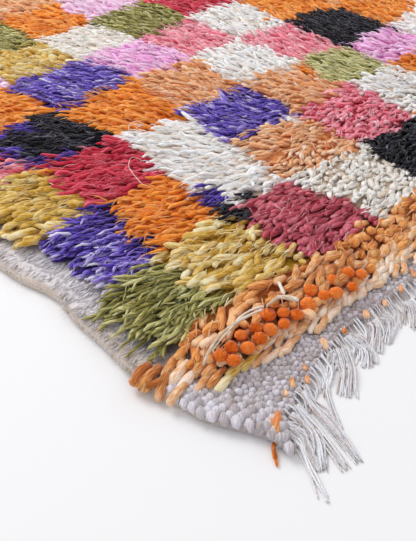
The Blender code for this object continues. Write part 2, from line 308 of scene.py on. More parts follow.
def woolMaterial(name, colours=None, fibre=1.1, twist=0.35, bump=0.5, sheen=0.22,
                 tipFadeAndShade=0.10, rootShadeAndSoil=0.06):
    # hand-spun sheep's wool, dyed in the yarn and cut: matt, with long fibres that twist round the strand,
    # a soft sheen where they stand off it, dye that took unevenly, tips bleached by light and wear, the root
    # end darkened as painted shade among the strands, with some soil; with no colours given, the colour (dye
    # with painted light in it) is read from the piece's own attribute
    material = bpy.data.materials.new(name)
    material.use_nodes = True
    tree = material.node_tree
    tree.nodes.clear()
    uvMap = addNode(tree, "ShaderNodeUVMap", {"uv_map": "strandMap"})
    parts = addNode(tree, "ShaderNodeSeparateXYZ", None, {0: uvMap.outputs[0]})
    # fibres are drawn about 1 mm wide, far coarser than the real 0.05 mm, which is too fine to show
    lean = addNode(tree, "ShaderNodeMath", {"operation": "MULTIPLY_ADD", 1: twist},
                   {0: parts.outputs[1], 2: parts.outputs[0]})
    across = addNode(tree, "ShaderNodeMath", {"operation": "MULTIPLY", 1: 1 / fibre}, {0: lean.outputs[0]})
    along = addNode(tree, "ShaderNodeMath", {"operation": "MULTIPLY", 1: 0.11 / fibre}, {0: parts.outputs[1]})
    place = addNode(tree, "ShaderNodeCombineXYZ", None, {0: across.outputs[0], 1: along.outputs[0]})
    fibres = addNode(tree, "ShaderNodeTexNoise",
                     {"noise_dimensions": "2D", "Scale": 1.0, "Detail": 3.0, "Roughness": 0.6},
                     {"Vector": place.outputs[0]})
    blotch = addNode(tree, "ShaderNodeTexNoise", {"noise_dimensions": "2D", "Scale": 0.09, "Detail": 1.0},
                     {"Vector": uvMap.outputs[0]})
    tone = addNode(tree, "ShaderNodeAttribute", {"attribute_name": "tone"})
    alongStrand = addNode(tree, "ShaderNodeAttribute", {"attribute_name": "along"})
    streak = addNode(tree, "ShaderNodeMath", {"operation": "MULTIPLY_ADD", 1: 1.5, 2: -0.75},
                     {0: fibres.outputs[0]})
    patch = addNode(tree, "ShaderNodeMath", {"operation": "MULTIPLY_ADD", 1: 0.5, 2: -0.25},
                    {0: blotch.outputs[0]})
    # paler towards the tip, darker towards the root: the root end is painted shade among the strands, with
    # some soil
    tip = addNode(tree, "ShaderNodeMapRange",
                  {"From Min": 0.3, "From Max": 1.0, "To Min": -rootShadeAndSoil, "To Max": tipFadeAndShade},
                  {"Value": alongStrand.outputs["Fac"]})
    # how pale the wool is: the strand's own tone, then its fibres, its blotches and its faded tip, with the
    # root darkened as painted shade
    paleness = tone.outputs["Fac"]
    for part in (streak, patch, tip):
        total = addNode(tree, "ShaderNodeMath", {"operation": "ADD"}, {0: paleness, 1: part.outputs[0]})
        paleness = total.outputs[0]
    if colours:
        dyeAndPaintedLight = addNode(tree, "ShaderNodeValToRGB", None, {0: paleness})
        stops = dyeAndPaintedLight.color_ramp.elements
        for index, hexValue in enumerate(colours):
            stop = stops[index] if index < 2 else stops.new(1.0)
            stop.position = index / (len(colours) - 1)
            stop.color = linearColour(hexValue)
    else:
        dyeAndPaintedLight = addNode(tree, "ShaderNodeAttribute", {"attribute_name": "knotDyeAndPaintedLight"})
    relief = addNode(tree, "ShaderNodeBump", {"Strength": bump, "Distance": 1.0 * mm},
                     {"Height": fibres.outputs[0]})
    shader = addNode(tree, "ShaderNodeBsdfPrincipled",
                     {"Roughness": 0.85, "Specular IOR Level": 0.1,
                      "Sheen Weight": sheen, "Sheen Roughness": 0.45,
                      "Subsurface Weight": 0.3, "Subsurface Radius": (1.0, 0.6, 0.4),
                      "Subsurface Scale": 4 * mm},
                     {"Base Color": dyeAndPaintedLight.outputs["Color"], "Normal": relief.outputs[0]})
    addNode(tree, "ShaderNodeOutputMaterial", None, {0: shader.outputs[0]})
    return material


# Yarns of the pile: colours from deep to pale, how the strand ends, thickness and longest length in mm,
# crimp in mm, how far neighbouring tips draw together into a lock (0 to 1), and for some the least and
# most thickness (swell), the spacing of the knots (pack) and how unruly the strands are (loose)
yarns = {
    "Orange": {"colours": ["#C4560A", "#F28420", "#FB9A38", "#FFBC70"], "shape": lockShape,
               "thick": 5.2, "long": 44, "crimp": 2.2, "clump": 0.52},
    "Madder": {"colours": ["#B44606", "#E46C18", "#F08230", "#F6A868"], "shape": cordShape,
               "thick": 11.0, "long": 34, "crimp": 0.3, "clump": 0.0},
    "Cord": {"colours": ["#B86428", "#E89A4E", "#F2B87E", "#F8D8B8"], "shape": cordShape,
             "thick": 8.4, "long": 41, "crimp": 1.0, "clump": 0.12, "swell": (0.86, 1.14)},
    "Peach": {"colours": ["#CE783E", "#EFA46C", "#F8C69A", "#FCE2CC"], "shape": lockShape,
              "thick": 5.2, "long": 39, "crimp": 1.7, "clump": 0.45},
    "Crimson": {"colours": ["#96142A", "#CE2A44", "#E44C64", "#EE8496"], "shape": lockShape,
                "thick": 5.2, "long": 43, "crimp": 2.3, "clump": 0.52},
    "Dusty": {"colours": ["#882434", "#BC4658", "#D66C7C", "#E8A0A8"], "shape": lockShape,
              "thick": 5.8, "long": 41, "crimp": 1.5, "clump": 0.34, "pack": 0.86, "loose": 0.6},
    "Rose": {"colours": ["#CE3E5A", "#EE6C84", "#FA98A8", "#FED0D6"], "shape": lockShape,
             "thick": 5.2, "long": 39, "crimp": 1.7, "clump": 0.45},
    "Pink": {"colours": ["#DA70B6", "#F8A4E0", "#FEC8EE", "#FFE4F4"], "shape": lockShape,
             "thick": 5.2, "long": 39, "crimp": 1.8, "clump": 0.46},
    "Purple": {"colours": ["#2A1A5E", "#5A3EB8", "#8C74DC", "#E0DAF0"], "shape": fineShape,
               "thick": 3.7, "long": 43, "crimp": 1.8, "clump": 0.64, "swell": (0.84, 1.3)},
    "Black": {"colours": ["#0A080E", "#14121C", "#2A2838", "#807E9E"], "shape": fineShape,
              "thick": 3.8, "long": 41, "crimp": 2.2, "clump": 0.45, "swell": (0.86, 1.2)},
    "White": {"colours": ["#D0B294", "#F0E4D8", "#FBF5F0", "#FFFFFF"], "shape": lockShape,
              "thick": 5.2, "long": 43, "crimp": 2.3, "clump": 0.50},
    "Cream": {"colours": ["#C8B096", "#EADCCA", "#F7EFE6", "#FFFCF6"], "shape": lockShape,
              "thick": 5.8, "long": 37, "crimp": 1.3, "clump": 0.34, "pack": 0.86, "loose": 0.6},
    "Yellow": {"colours": ["#96701E", "#D2A232", "#E6CA80", "#F4E8C4"], "shape": cordShape,
               "thick": 6.0, "long": 44, "crimp": 1.2, "clump": 0.34, "swell": (0.98, 1.4)},
    "Olive": {"colours": ["#4E4A18", "#868038", "#B0A962", "#DAD6A0"], "shape": fineShape,
              "thick": 3.4, "long": 46, "crimp": 1.8, "clump": 0.76, "swell": (0.84, 1.3)},
}

# The chart of checks, one letter a check: near end at the bottom, left selvedge on the left
chart = [
    "PRGVHOLCE",
    "OVWPRLNWO",
    "KLCEOVPYC",
    "WGVPYKWOL",
    "COLOAYEVR",
    "PAYELCVGO",
    "OOVKRWOHN",
    "RNOPWRNOY",
    "GCWVPMKWO",
    "VOWPRWOLA",
    "LYQENOVGC",
    "HHHHHHHHH",
]
# Each letter's yarn, how pale its strands are (0 deep, 1 pale) and how much they vary
letters = {
    "O": ("Orange", 0.50, 0.20), "D": ("Madder", 0.36, 0.10), "P": ("Peach", 0.42, 0.24),
    "H": ("Cord", 0.36, 0.22), "C": ("Crimson", 0.42, 0.18), "T": ("Cord", 0.66, 0.34),
    "R": ("Rose", 0.56, 0.22), "Q": ("Dusty", 0.44, 0.18), "K": ("Pink", 0.52, 0.22),
    "A": ("Pink", 0.80, 0.14), "V": ("Purple", 0.38, 0.38), "U": ("Purple", 0.08, 0.16),
    "N": ("Black", 0.24, 0.30), "W": ("White", 0.68, 0.24), "E": ("Cream", 0.58, 0.22),
    "G": ("Yellow", 0.44, 0.26), "Y": ("Yellow", 0.54, 0.30), "L": ("Olive", 0.42, 0.34),
    "M": ("Olive", 0.74, 0.24),
}
columnPitch, rowPitch, endRow = 100 * mm, 95 * mm, 55 * mm
strayReach = 36.0  # how far round it a strayed corner draws the checks along, mm
chartLeft, chartNear = -450 * mm, -530 * mm

# Hand-made checks aren't even: where a corner of four checks lies (x, y), and how far it has strayed
# from the even grid (x, y), all in mm
cornerStrays = [
    (-400, -396, 0, -16), (-351, -380, -1, 0), (-344, -285, 6, 0), (-251, -289, -1, -4),
    (-339, -180, 11, 10), (-235, -194, 15, -4), (-258, -383, -8, -3), (-248, -494, 2, -19),
    (-348, -477, 2, -2), (-154, -501, -4, -26), (-252, -87, -2, 8), (-130, -94, 20, 1),
    (-60, -406, -10, -26), (-169, -392, -19, -12), (38, -412, -12, -32), (-71, -497, -21, -22),
    (-55, -305, -5, -20), (42, -300, -8, -15), (121, -301, -29, -16), (130, -235, -20, -45),
    (57, -215, 7, -25), (-48, -210, 2, -20), (-31, -102, 19, -7), (51, -100, 1, -5),
    (-158, -293, -8, -8), (-143, -205, 7, -15), (227, -233, -23, -43), (35, -495, -15, -20),
    (140, -405, -10, -25), (135, -120, -15, -25), (235, -140, -15, -45), (230, -310, -20, -25),
    (250, 0, -7, 4), (-350, 0, 5, 6), (-50, 95, -6, -5), (-250, 190, 7, 3), (50, 285, -5, 7),
    (250, 285, 6, -6), (350, 95, -6, 5), (150, 0, 0, -4), (50, 0, 2, 0), (-50, 0, 4, 0),
    (-150, 0, 4, 0),
]
# Knot ends of madder yarn that stand up in a row at the near rim: x, y of each end, mm
knotEnds = [
    (-386, -515), (-382, -525), (-374, -515), (-364, -524), (-359, -511), (-350, -524), (-344, -514),
    (-335, -523), (-325, -512), (-314, -518), (-324, -527), (-307, -527), (-288, -524), (-275, -515),
    (-271, -527), (-262, -534), (-244, -537), (-250, -519), (-235, -525), (-225, -532),
]
# Patches where the knotter changed yarn inside a check: x, y, radius (mm), letter
patches = [
    (-238, -360, 15, "U"), (-236, -347, 12, "U"), (-243, -381, 14, "N"), (-238, -392, 11, "N"),
    (-206, -373, 9, "N"), (-331, -105, 13, "U"), (-298, -107, 14, "U"), (-351, -155, 15, "U"),
    (-335, -187, 12, "U"), (-308, -193, 9, "U"), (-346, -303, 19, "U"), (-400, -318, 13, "U"),
    (-344, -362, 13, "U"), (-284, -450, 24, "G"), (-347, -212, 7, "O"), (41, -217, 12, "O"),
    (-63, -290, 10, "E"), (-392, -508, 20, "T"), (-372, -494, 12, "T"),
]


def letterAt(x, y):
    # the chart is read where the tips are, and most of the wool that shows lies 8 mm lower
    x, y = x * 0.982 - 12.2 * mm, y * 0.982 - 14.6 * mm
    px = x + 3.0 * mm * waves(x, y, 0.06, 1.0)
    py = y + 3.0 * mm * waves(x, y, 0.055, 2.0)
    weights, shiftX, shiftY = 0.08, 0.0, 0.0  # far from every listed corner the grid is even
    for atX, atY, dx, dy in cornerStrays:
        near = np.exp(-((x / mm - atX) ** 2 + (y / mm - atY) ** 2) / (2 * strayReach ** 2))
        weights = weights + near
        shiftX, shiftY = shiftX + dx * mm * near, shiftY + dy * mm * near
    px, py = px - shiftX / weights, py - shiftY / weights
    column = np.clip(np.floor((px - chartLeft) / columnPitch), 0, 8).astype(int)
    row = np.clip(np.floor((py - chartNear - endRow) / rowPitch) + 1, 0, 11).astype(int)
    letter = np.array([list(line) for line in chart[::-1]])[row, column]
    for atX, atY, radius, mark in patches:
        letter = np.where(np.hypot(px / mm - atX, py / mm - atY) < radius, mark, letter)
    for atX, atY in knotEnds:
        letter = np.where(np.hypot(x / mm - atX, y / mm - atY) < 5, "D", letter)
    return letter, column, row


# How the pile leans, mm and degrees: place, heading from the near end round to the left, rise of the tips
leans = np.array([
    (-430, -480, 60, 2), (-410, -430, 84, 6), (-400, -400, 94, 8), (-420, -300, 100, 8),
    (-420, -150, 104, 10), (-430, 200, 104, 12), (-350, -470, 78, 8), (-350, -380, 100, 11),
    (-340, -250, 106, 12), (-300, -100, 116, 16), (-404, -500, 78, 8), (-385, -495, 66, 14),
    (-370, -505, 46, 32), (-330, -505, 44, 36), (-290, -515, 46, 34), (-240, -510, 46, 34),
    (-180, -505, 66, 24), (-100, -505, 74, 22), (0, -505, 70, 24), (150, -505, 60, 24),
    (350, -505, 50, 24), (-290, -450, 94, 10), (-250, -440, 88, 14), (-205, -430, 66, 24),
    (-160, -445, 84, 14), (-130, -430, 66, 24), (-140, -370, 84, 20), (-250, -350, 104, 12),
    (-180, -300, 116, 16), (-150, -250, 140, 18), (-90, -390, 58, 28), (-70, -300, 104, 24),
    (-100, -220, 160, 16), (0, -330, 74, 26), (0, -260, 124, 30), (50, -250, 150, 26),
    (0, -150, 156, 24), (100, -150, 166, 26), (-150, -100, 132, 18), (-150, 50, 128, 20),
    (100, 150, 160, 24), (300, -200, 160, 26), (300, 200, 150, 24), (-250, 300, 120, 18),
    (100, 420, 130, 24),
], float)


def leanAt(x, y):
    distance = np.hypot(x[:, None] / mm - leans[:, 0], y[:, None] / mm - leans[:, 1])
    weight = 1 / (distance + 8.0) ** 4
    weight /= weight.sum(1, keepdims=True)
    return weight @ leans[:, 2], weight @ leans[:, 3]


def pileTop(x, y):
    heights = np.full(len(x), 0.019)
    for index in range(len(x)):
        found = pileEdges.tree.ray_cast(Vector((x[index], y[index], 0.2)), Vector((0, 0, -1)))[0]
        if found:
            heights[index] = found.z
    return heights


def beyondView(x, y):
    # 1 where the photo doesn't reach: the knots there are thicker and fewer
    top = ease((y - (0.19 - x) / 1.05) / 0.04)
    side = ease(((-0.47 + 0.81 * x) - y) / 0.04)
    return np.maximum(top, side)


def setOut(yarn, dice):
    # knots stand closer together where the pile stands up, and further apart where it lies over
    thick = yarn["thick"] * mm
    pack = yarn.get("pack", 0.94)
    rows = np.arange(-0.56, 0.56, thick * pack)
    x = -0.44 + dice.uniform(0, 2.0, len(rows)) * thick
    allX, allY = [], []
    while x.min() < 0.44:
        allX.append(x.copy())
        allY.append(rows + dice.uniform(-0.25, 0.25, len(rows)) * thick)
        rise = leanAt(x, rows)[1]
        step = np.clip(pack / np.sin(np.radians(rise + 8)), 1.25, 1.85 if thick > 6 * mm else 2.2) * thick
        step = step * (1 - 0.22 * (rows < -0.47)) * (1 + 2.0 * beyondView(x, rows))
        x = x + step * dice.uniform(0.7, 1.3, len(rows))
    x, y = np.concatenate(allX), np.concatenate(allY)
    left, right, near, far = pileFoot.distances(x, y)
    inside = np.min((left, right, near + 3 * mm, far), axis=0) > 0
    return x[inside], y[inside]


def strandPoses(x, y, seed, dice, loose=1.0):
    # heading and rise of every strand, with clumps, and the outermost ones spilling over the rims
    left, right, near, far = pileFoot.distances(x, y)
    heading, rise = leanAt(x, y)
    heading = heading + 10 * waves(x, y, 0.041, seed) + 8 * waves(x, y, 0.017, seed + 3)
    heading = heading + dice.normal(0, 13 * loose, x.shape)
    rise = rise + 5 * waves(x, y, 0.047, seed + 5) + dice.normal(0, 5 * loose, x.shape)
    low = 1 - ease((near + 6 * mm) / (9 * mm))
    heading = np.radians(heading * (1 - low) + (72 + 14 * waves(x, y, 0.09, 6.0)) * low)
    rise = rise * (1 - low)
    for distance, out in ((right, (1, 0)), (far, (0, 1))):
        share = 1 - ease(distance / (34 * mm))
        dx = -np.sin(heading) * (1 - share) + out[0] * share
        dy = -np.cos(heading) * (1 - share) + out[1] * share
        heading = np.arctan2(-dx, -dy)
        rise = rise * (1 - share * 0.6)
    rim = 1 - ease(np.min((left, right, near, far), axis=0) / (20 * mm))
    return heading, rise - 6 * rim, rim, low


def layPile(name, yarn, seed):
    dice = np.random.default_rng(100 + seed)
    shape = yarn["shape"]
    x, y = setOut(yarn, dice)
    loose = yarn.get("loose", 1.0)
    heading, rise, rim, low = strandPoses(x, y, seed * 0.37, dice, loose)
    direction = np.stack([-np.sin(heading), -np.cos(heading), np.zeros_like(x)], -1)
    seen = (8 + 25 * np.cos(np.radians(rise + 12)) ** 2) * mm
    letter, column, row = letterAt(x + direction[:, 0] * seen, y + direction[:, 1] * seen)
    own, tone = np.zeros(len(x), bool), np.zeros(len(x))
    for mark, (yarnName, pale, spread) in letters.items():
        if yarnName == name:
            here = letter == mark
            own |= here
            drift = 0.7 * waves(x, y, 0.045, seed + 9) + 0.5 * waves(x, y, 0.019, seed + 4)
            vary = spread * (drift + dice.normal(0, 0.42, x.shape))
            if name == "Purple":
                # the dye has faded to lavender beside the selvedge
                vary = vary + 0.5 * ease((-0.342 - x) / 0.03) * ease((-0.335 - y) / 0.015)
            tone = np.where(here, pale + 0.05 * np.sin(column * 2.1 + row * 1.3) + vary, tone)
    x, y, rise, rim, low, direction, tone = (v[own] for v in (x, y, rise, rim, low, direction, tone))
    count = len(x)
    # centre line: up from the knot, then over into the lean
    steps = np.linspace(0, 1, 25)
    start = 80 - 30 * rim + dice.normal(0, 5, count) - 34 * low
    over = np.clip(1 - steps / 0.45, 0, 1) ** 1.3
    angle = np.radians(rise[:, None] + (start - rise)[:, None] * over[None] - 14 * steps[None] ** 3)
    gain = np.concatenate([np.zeros((count, 1)), np.cumsum(np.sin(angle)[:, :-1], 1)], 1) / 24
    reach = np.concatenate([np.zeros((count, 1)), np.cumsum(np.cos(angle)[:, :-1], 1)], 1) / 24
    least, most = yarn.get("swell", (0.88, 1.34))
    radius = yarn["thick"] * mm / 2 * dice.uniform(least, most, count) * (1 + 0.6 * beyondView(x, y))
    wanted = pileTop(x + direction[:, 0] * 8 * mm, y + direction[:, 1] * 8 * mm) - radius - groundTop
    longest = yarn["long"] * mm * (1 + 0.08 * waves(x, y, 0.05, seed + 7))
    length = np.clip(wanted / np.maximum(gain.max(1), 0.2), 0.58 * longest, longest)
    length = length * (1 + dice.uniform(-0.16, 0.14, count) * loose)
    # how much of its length a strand keeps where it would hang over the left selvedge
    spill = 0.4 if name == "Purple" else 0.8
    length = length * (spill + (1 - spill) * ease(pileFoot.distances(x, y)[0] / (38 * mm)))
    sideways = np.stack([direction[:, 1], -direction[:, 0], np.zeros(count)], -1)
    sway = dice.normal(0, 0.11 * loose, (count, 1)) * length[:, None] * steps[None] ** 2
    phase = dice.uniform(0, math.tau, (count, 2))
    swing = yarn["crimp"] * mm * steps[None]
    crimp = swing * np.sin(steps[None] * dice.uniform(7, 12, (count, 1)) + phase[:, :1])
    ripple = 0.7 * swing * np.sin(steps[None] * dice.uniform(7, 12, (count, 1)) + phase[:, 1:])
    root = np.stack([x, y, np.full(count, groundTop)], -1)
    line = root[:, None] + direction[:, None] * (reach * length[:, None])[..., None]
    line = line + sideways[:, None] * (sway + crimp)[..., None]
    # neighbours draw together towards their tips
    cell = 15 * mm  # about one lock
    cellX, cellY = np.floor(x / cell), np.floor(y / cell)
    pullX = (cellX + 0.5 + 0.35 * np.sin(cellX * 12.9 + cellY * 4.1)) * cell - x
    pullY = (cellY + 0.5 + 0.35 * np.sin(cellX * 7.3 + cellY * 9.7)) * cell - y
    line[..., 0] += pullX[:, None] * yarn["clump"] * steps[None] ** 1.6
    line[..., 1] += pullY[:, None] * yarn["clump"] * steps[None] ** 1.6
    line[..., 2] += gain * length[:, None] + ripple
    picked = [[np.interp(shape["heights"], steps, each[:, axis]) for axis in range(3)] for each in line]
    centres = np.array(picked).transpose(0, 2, 1)
    piece = sweepCopies("pile" + name, shape, centres, radius, dice, 0.88, tone, 0.13)
    print("pile", name, count, "strands", shape["triangles"] * count, "triangles")
    return piece


yarnWool = {}
# darker towards the root end of each laid strand: painted shade, with some soil
rimWool = woolMaterial("looseRimWool", ["#A85A26", "#DC9856", "#ECC6A0", "#F8EAE0"],
                       fibre=0.8, twist=0.2, bump=0.4, sheen=0.3, rootShadeAndSoil=0.2)


def layKnotEnds(dice):
    # thick madder yarn that stands up out of the near rim, its cut ends like beads
    ends = np.array(knotEnds, float) * mm
    count = len(ends)
    heading = np.radians(48 + dice.normal(0, 8, count))
    rise = np.radians(38 + dice.normal(0, 5, count))
    way = np.stack([-np.sin(heading) * np.cos(rise), -np.cos(heading) * np.cos(rise), np.sin(rise)], -1)
    tip = np.concatenate([ends, (26 + dice.normal(0, 1.2, (count, 1))) * mm], 1)
    length = dice.uniform(17, 21, (count, 1)) * mm
    heights = ballShape["heights"]
    centres = tip[:, None] - (way * length)[:, None] * (1 - heights)[None, :, None]
    radius = 6.7 * mm * dice.uniform(0.84, 1.08, count)
    tones = dice.uniform(0.15, 0.55, count)
    balls = sweepCopies("pileKnotEnds", ballShape, centres, radius, dice, 0.84, tones, 0.06)
    wearOn(balls, yarnWool["Madder"])


def layRim(dice):
    # flat strands run along the near rim, in four uneven rows from the knot ends down to the ground
    places, tones = [], []
    for out, level, pitch in ((1, 14.5, 11.0), (-6, 12.5, 10.0), (-13, 11.0, 10.0), (-20, 9.8, 11.0)):
        for x in np.arange(-378 if out > 0 else -348, 396, pitch):
            px = (x + dice.normal(0, 2.5)) * mm
            foot = float(np.interp(px, pileFoot.near[1][:, 0], pileFoot.near[1][:, 1]))
            places.append((px, foot + (out + dice.normal(0, 1.8)) * mm, level * mm))
            tones.append(dice.uniform(0.15, 0.7) + (0.3 if out < 0 else 0.0))
    # and three strands behind each of the knot ends that stand apart
    for x, y in (end for end in knotEnds if end[0] > -300):
        for back, level in ((13, 20.5), (19, 22.0), (25, 24.0)):
            px, py = x + 7 + dice.normal(0, 2), y + back + dice.normal(0, 1.5)
            places.append((px * mm, py * mm, level * mm))
            tones.append(dice.uniform(0.1, 0.6))
    places, tones = np.array(places), np.array(tones)
    count = len(places)
    heading = np.radians(76 + dice.normal(0, 14, count))
    length = dice.uniform(22, 34, count) * mm
    heights = cordShape["heights"]
    reach = (heights[None] - 0.5) * length[:, None]
    x = places[:, :1] - np.sin(heading)[:, None] * reach
    y = places[:, 1:2] - np.cos(heading)[:, None] * reach
    y = y + dice.normal(0, 1.2, (count, len(heights))) * mm
    z = places[:, 2:] + 2.2 * mm * (np.sin(heights * math.pi)[None] - 0.5)
    z = z + dice.normal(0, 0.9, (count, 1)) * mm
    radius = 3.8 * mm * dice.uniform(0.7, 1.2, count)
    laid = sweepCopies("rimCord", cordShape, np.stack([x, y, z], -1), radius, dice, 0.86, tones, 0.16)
    wearOn(laid, rimWool)


def makePile():
    # the first pile piece made is kept as standsIn, which nothing reads
    standsIn = None
    for index, (name, yarn) in enumerate(yarns.items()):
        fibre = 1.6 if yarn["thick"] > 6 else 1.3
        # the pale and fine yarns get darker roots: painted shade between the strands, with some soil
        shadeAndSoil = 0.24 if name in ("White", "Cream", "Olive", "Purple") else 0.12
        fade = 0.26 if name in ("Olive", "Purple") else 0.14
        yarnWool[name] = woolMaterial("handSpunWool" + name, yarn["colours"],
                                      fibre=fibre, bump=0.9, tipFadeAndShade=fade, rootShadeAndSoil=shadeAndSoil)
        if name != "Madder":
            piece = wearOn(layPile(name, yarn, index), yarnWool[name])
            standsIn = standsIn or piece
    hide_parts("pile")
    dice = np.random.default_rng(71)
    layKnotEnds(dice)
    layRim(dice)


makePile()


# Wisps: fine fibres worked loose from the tips, over the part of the pile that is nearest

def paintDyeAndLight(piece, dyeAndPaintedLight):
    piece.data.attributes.new("knotDyeAndPaintedLight", "FLOAT_COLOR", "POINT").data.foreach_set("color", dyeAndPaintedLight.ravel())


def makeWisps():
    dice = np.random.default_rng(91)
    x, y = dice.uniform(-0.42, 0.42, 13000), dice.uniform(-0.54, 0.36, 13000)
    inside = (np.min(pileFoot.distances(x, y), axis=0) > 4 * mm) & (beyondView(x, y) < 0.2)
    x, y = x[inside][:4800], y[inside][:4800]
    count = len(x)
    heading, rise = strandPoses(x, y, 0.7, dice)[:2]
    heading = heading + dice.normal(0, 0.25, count)
    direction = np.stack([-np.sin(heading), -np.cos(heading)], -1)
    side = np.stack([direction[:, 1], -direction[:, 0]], -1)
    length = dice.uniform(12, 22, count) * mm * np.cos(np.radians(rise))
    curl = dice.normal(0, 0.16, count) * length
    start = pileTop(x, y)
    stop = pileTop(x + direction[:, 0] * length, y + direction[:, 1] * length)
    line = []
    for share in hairShape["heights"]:
        spot = np.stack([x, y], -1) + direction * (length * share)[:, None]
        spot = spot + side * (curl * share ** 2)[:, None]
        arch = dice.uniform(2.5, 4.5, count) * mm * math.sin(0.3 + share * 2.2)
        height = start * (1 - share) + stop * share - 3.0 * mm + arch
        line.append(np.concatenate([spot, height[:, None]], 1))
    letter = letterAt(x + direction[:, 0] * 6 * mm, y + direction[:, 1] * 6 * mm)[0]
    dyeAndPaintedLight = np.ones((count, 4), np.float32)
    for mark, (yarnName, pale, _) in letters.items():
        ramp = np.array([linearColour(c) for c in yarns[yarnName]["colours"]])
        # loose fibres catch more light than the strands below them
        tone = np.clip(pale + 0.12 + dice.normal(0, 0.2, count), 0, 1) * 3
        mixed = np.stack([np.interp(tone, range(4), ramp[:, channel]) for channel in range(4)], -1)
        dyeAndPaintedLight[letter == mark] = mixed[letter == mark]
    radius = dice.uniform(0.4, 0.8, count) * mm
    piece = sweepCopies("pileWisps", hairShape, np.stack(line, 1), radius, dice, 1.0, None, 0.0)
    dyed = np.repeat(dyeAndPaintedLight, len(hairShape["ring"]), axis=0)
    paintDyeAndLight(piece, dyed)
    wearOn(piece, woolMaterial("looseWoolFibre", None, fibre=0.7, bump=0.3, sheen=0.5))
    print("wisps", count)


makeWisps()


# Knot bed: the coloured knots that sit round the warp below the cut pile

def modelSlab(name, acrossCount, alongCount):
    # closed slab of a fine grid, 2 by 2 by 1, that is then laid out to its real shape
    deselectAll()
    bpy.ops.mesh.primitive_grid_add(x_subdivisions=acrossCount, y_subdivisions=alongCount, size=2,
                                    location=(0, 0, 0))
    slab = bpy.context.object
    slab.name = name
    bpy.ops.object.mode_set(mode="EDIT")
    bpy.ops.mesh.select_all(action="SELECT")
    bpy.ops.mesh.extrude_region_move(TRANSFORM_OT_translate={"value": (0, 0, 1)})
    bpy.ops.mesh.select_all(action="SELECT")
    bpy.ops.mesh.normals_make_consistent(inside=False)
    bpy.ops.object.mode_set(mode="OBJECT")
    return slab, np.array([v.co for v in slab.data.vertices])


def layOut(slab, spot, height):
    places = np.stack([spot[:, 0], spot[:, 1], height], -1)
    slab.data.vertices.foreach_set("co", places.astype(np.float32).ravel())
    slab.data.shade_smooth()


def makeBed():
    bed, points = modelSlab("knotBed", 64, 84)
    spot = pileFoot.at(points[:, 0] / 2 + 0.5, points[:, 1] / 2 + 0.5)
    spot = spot * (1 - 9 * mm / 0.45)
    inner = np.min(pileFoot.distances(spot[:, 0], spot[:, 1]), axis=0)
    lump = 2.0 * mm * waves(spot[:, 0], spot[:, 1], 0.013, 3.0)
    rise = np.clip(pileTop(spot[:, 0], spot[:, 1]) - 9.2 * mm - groundTop, 3 * mm, 16 * mm)
    top = groundTop + 0.6 * mm + (rise + lump) * ease((inner - 2 * mm) / (20 * mm))
    height = np.where(points[:, 2] > 0.5, top, groundTop - 1.0 * mm)
    layOut(bed, spot, height)
    letter = letterAt(spot[:, 0] - 6 * mm, spot[:, 1] - 2 * mm)[0]
    # painted shade: each knot's colour is its yarn's deep and mid colours, mixed by waves and dimmed to 0.92,
    # so the bed shows darker than the strands above it
    dyeAndPaintedLight = np.ones((len(points), 4), np.float32)
    mixed = (0.4 + 0.35 * waves(spot[:, 0], spot[:, 1], 0.031, 8.0))[:, None]
    for mark, (yarnName, _, _) in letters.items():
        deep, mid = (np.array(linearColour(c)) for c in yarns[yarnName]["colours"][:2])
        dyeAndPaintedLight[letter == mark] = (deep * mixed + mid * (1 - mixed))[letter == mark] * 0.92
    paintDyeAndLight(bed, dyeAndPaintedLight)
    # tight wool knots: matt, lumpy like seeds, in the yarn's colour darkened as painted shade
    material = bpy.data.materials.new("woolKnots")
    material.use_nodes = True
    tree = material.node_tree
    shader = tree.nodes["Principled BSDF"]
    shader.inputs["Roughness"].default_value = 0.95
    shader.inputs["Specular IOR Level"].default_value = 0.1
    dyeNode = addNode(tree, "ShaderNodeAttribute", {"attribute_name": "knotDyeAndPaintedLight"})
    place = addNode(tree, "ShaderNodeTexCoord")
    seeds = addNode(tree, "ShaderNodeTexVoronoi", {"Scale": 1 / (5 * mm)},
                    {"Vector": place.outputs["Object"]})
    relief = addNode(tree, "ShaderNodeBump", {"Strength": 1.0, "Distance": 3 * mm},
                     {"Height": seeds.outputs[0]})
    tree.links.new(dyeNode.outputs["Color"], shader.inputs["Base Color"])
    tree.links.new(relief.outputs[0], shader.inputs["Normal"])
    wearOn(bed, material)


makeBed()


# Ground: packed plain weave, felted selvedges, weft beads at the flatwoven ends

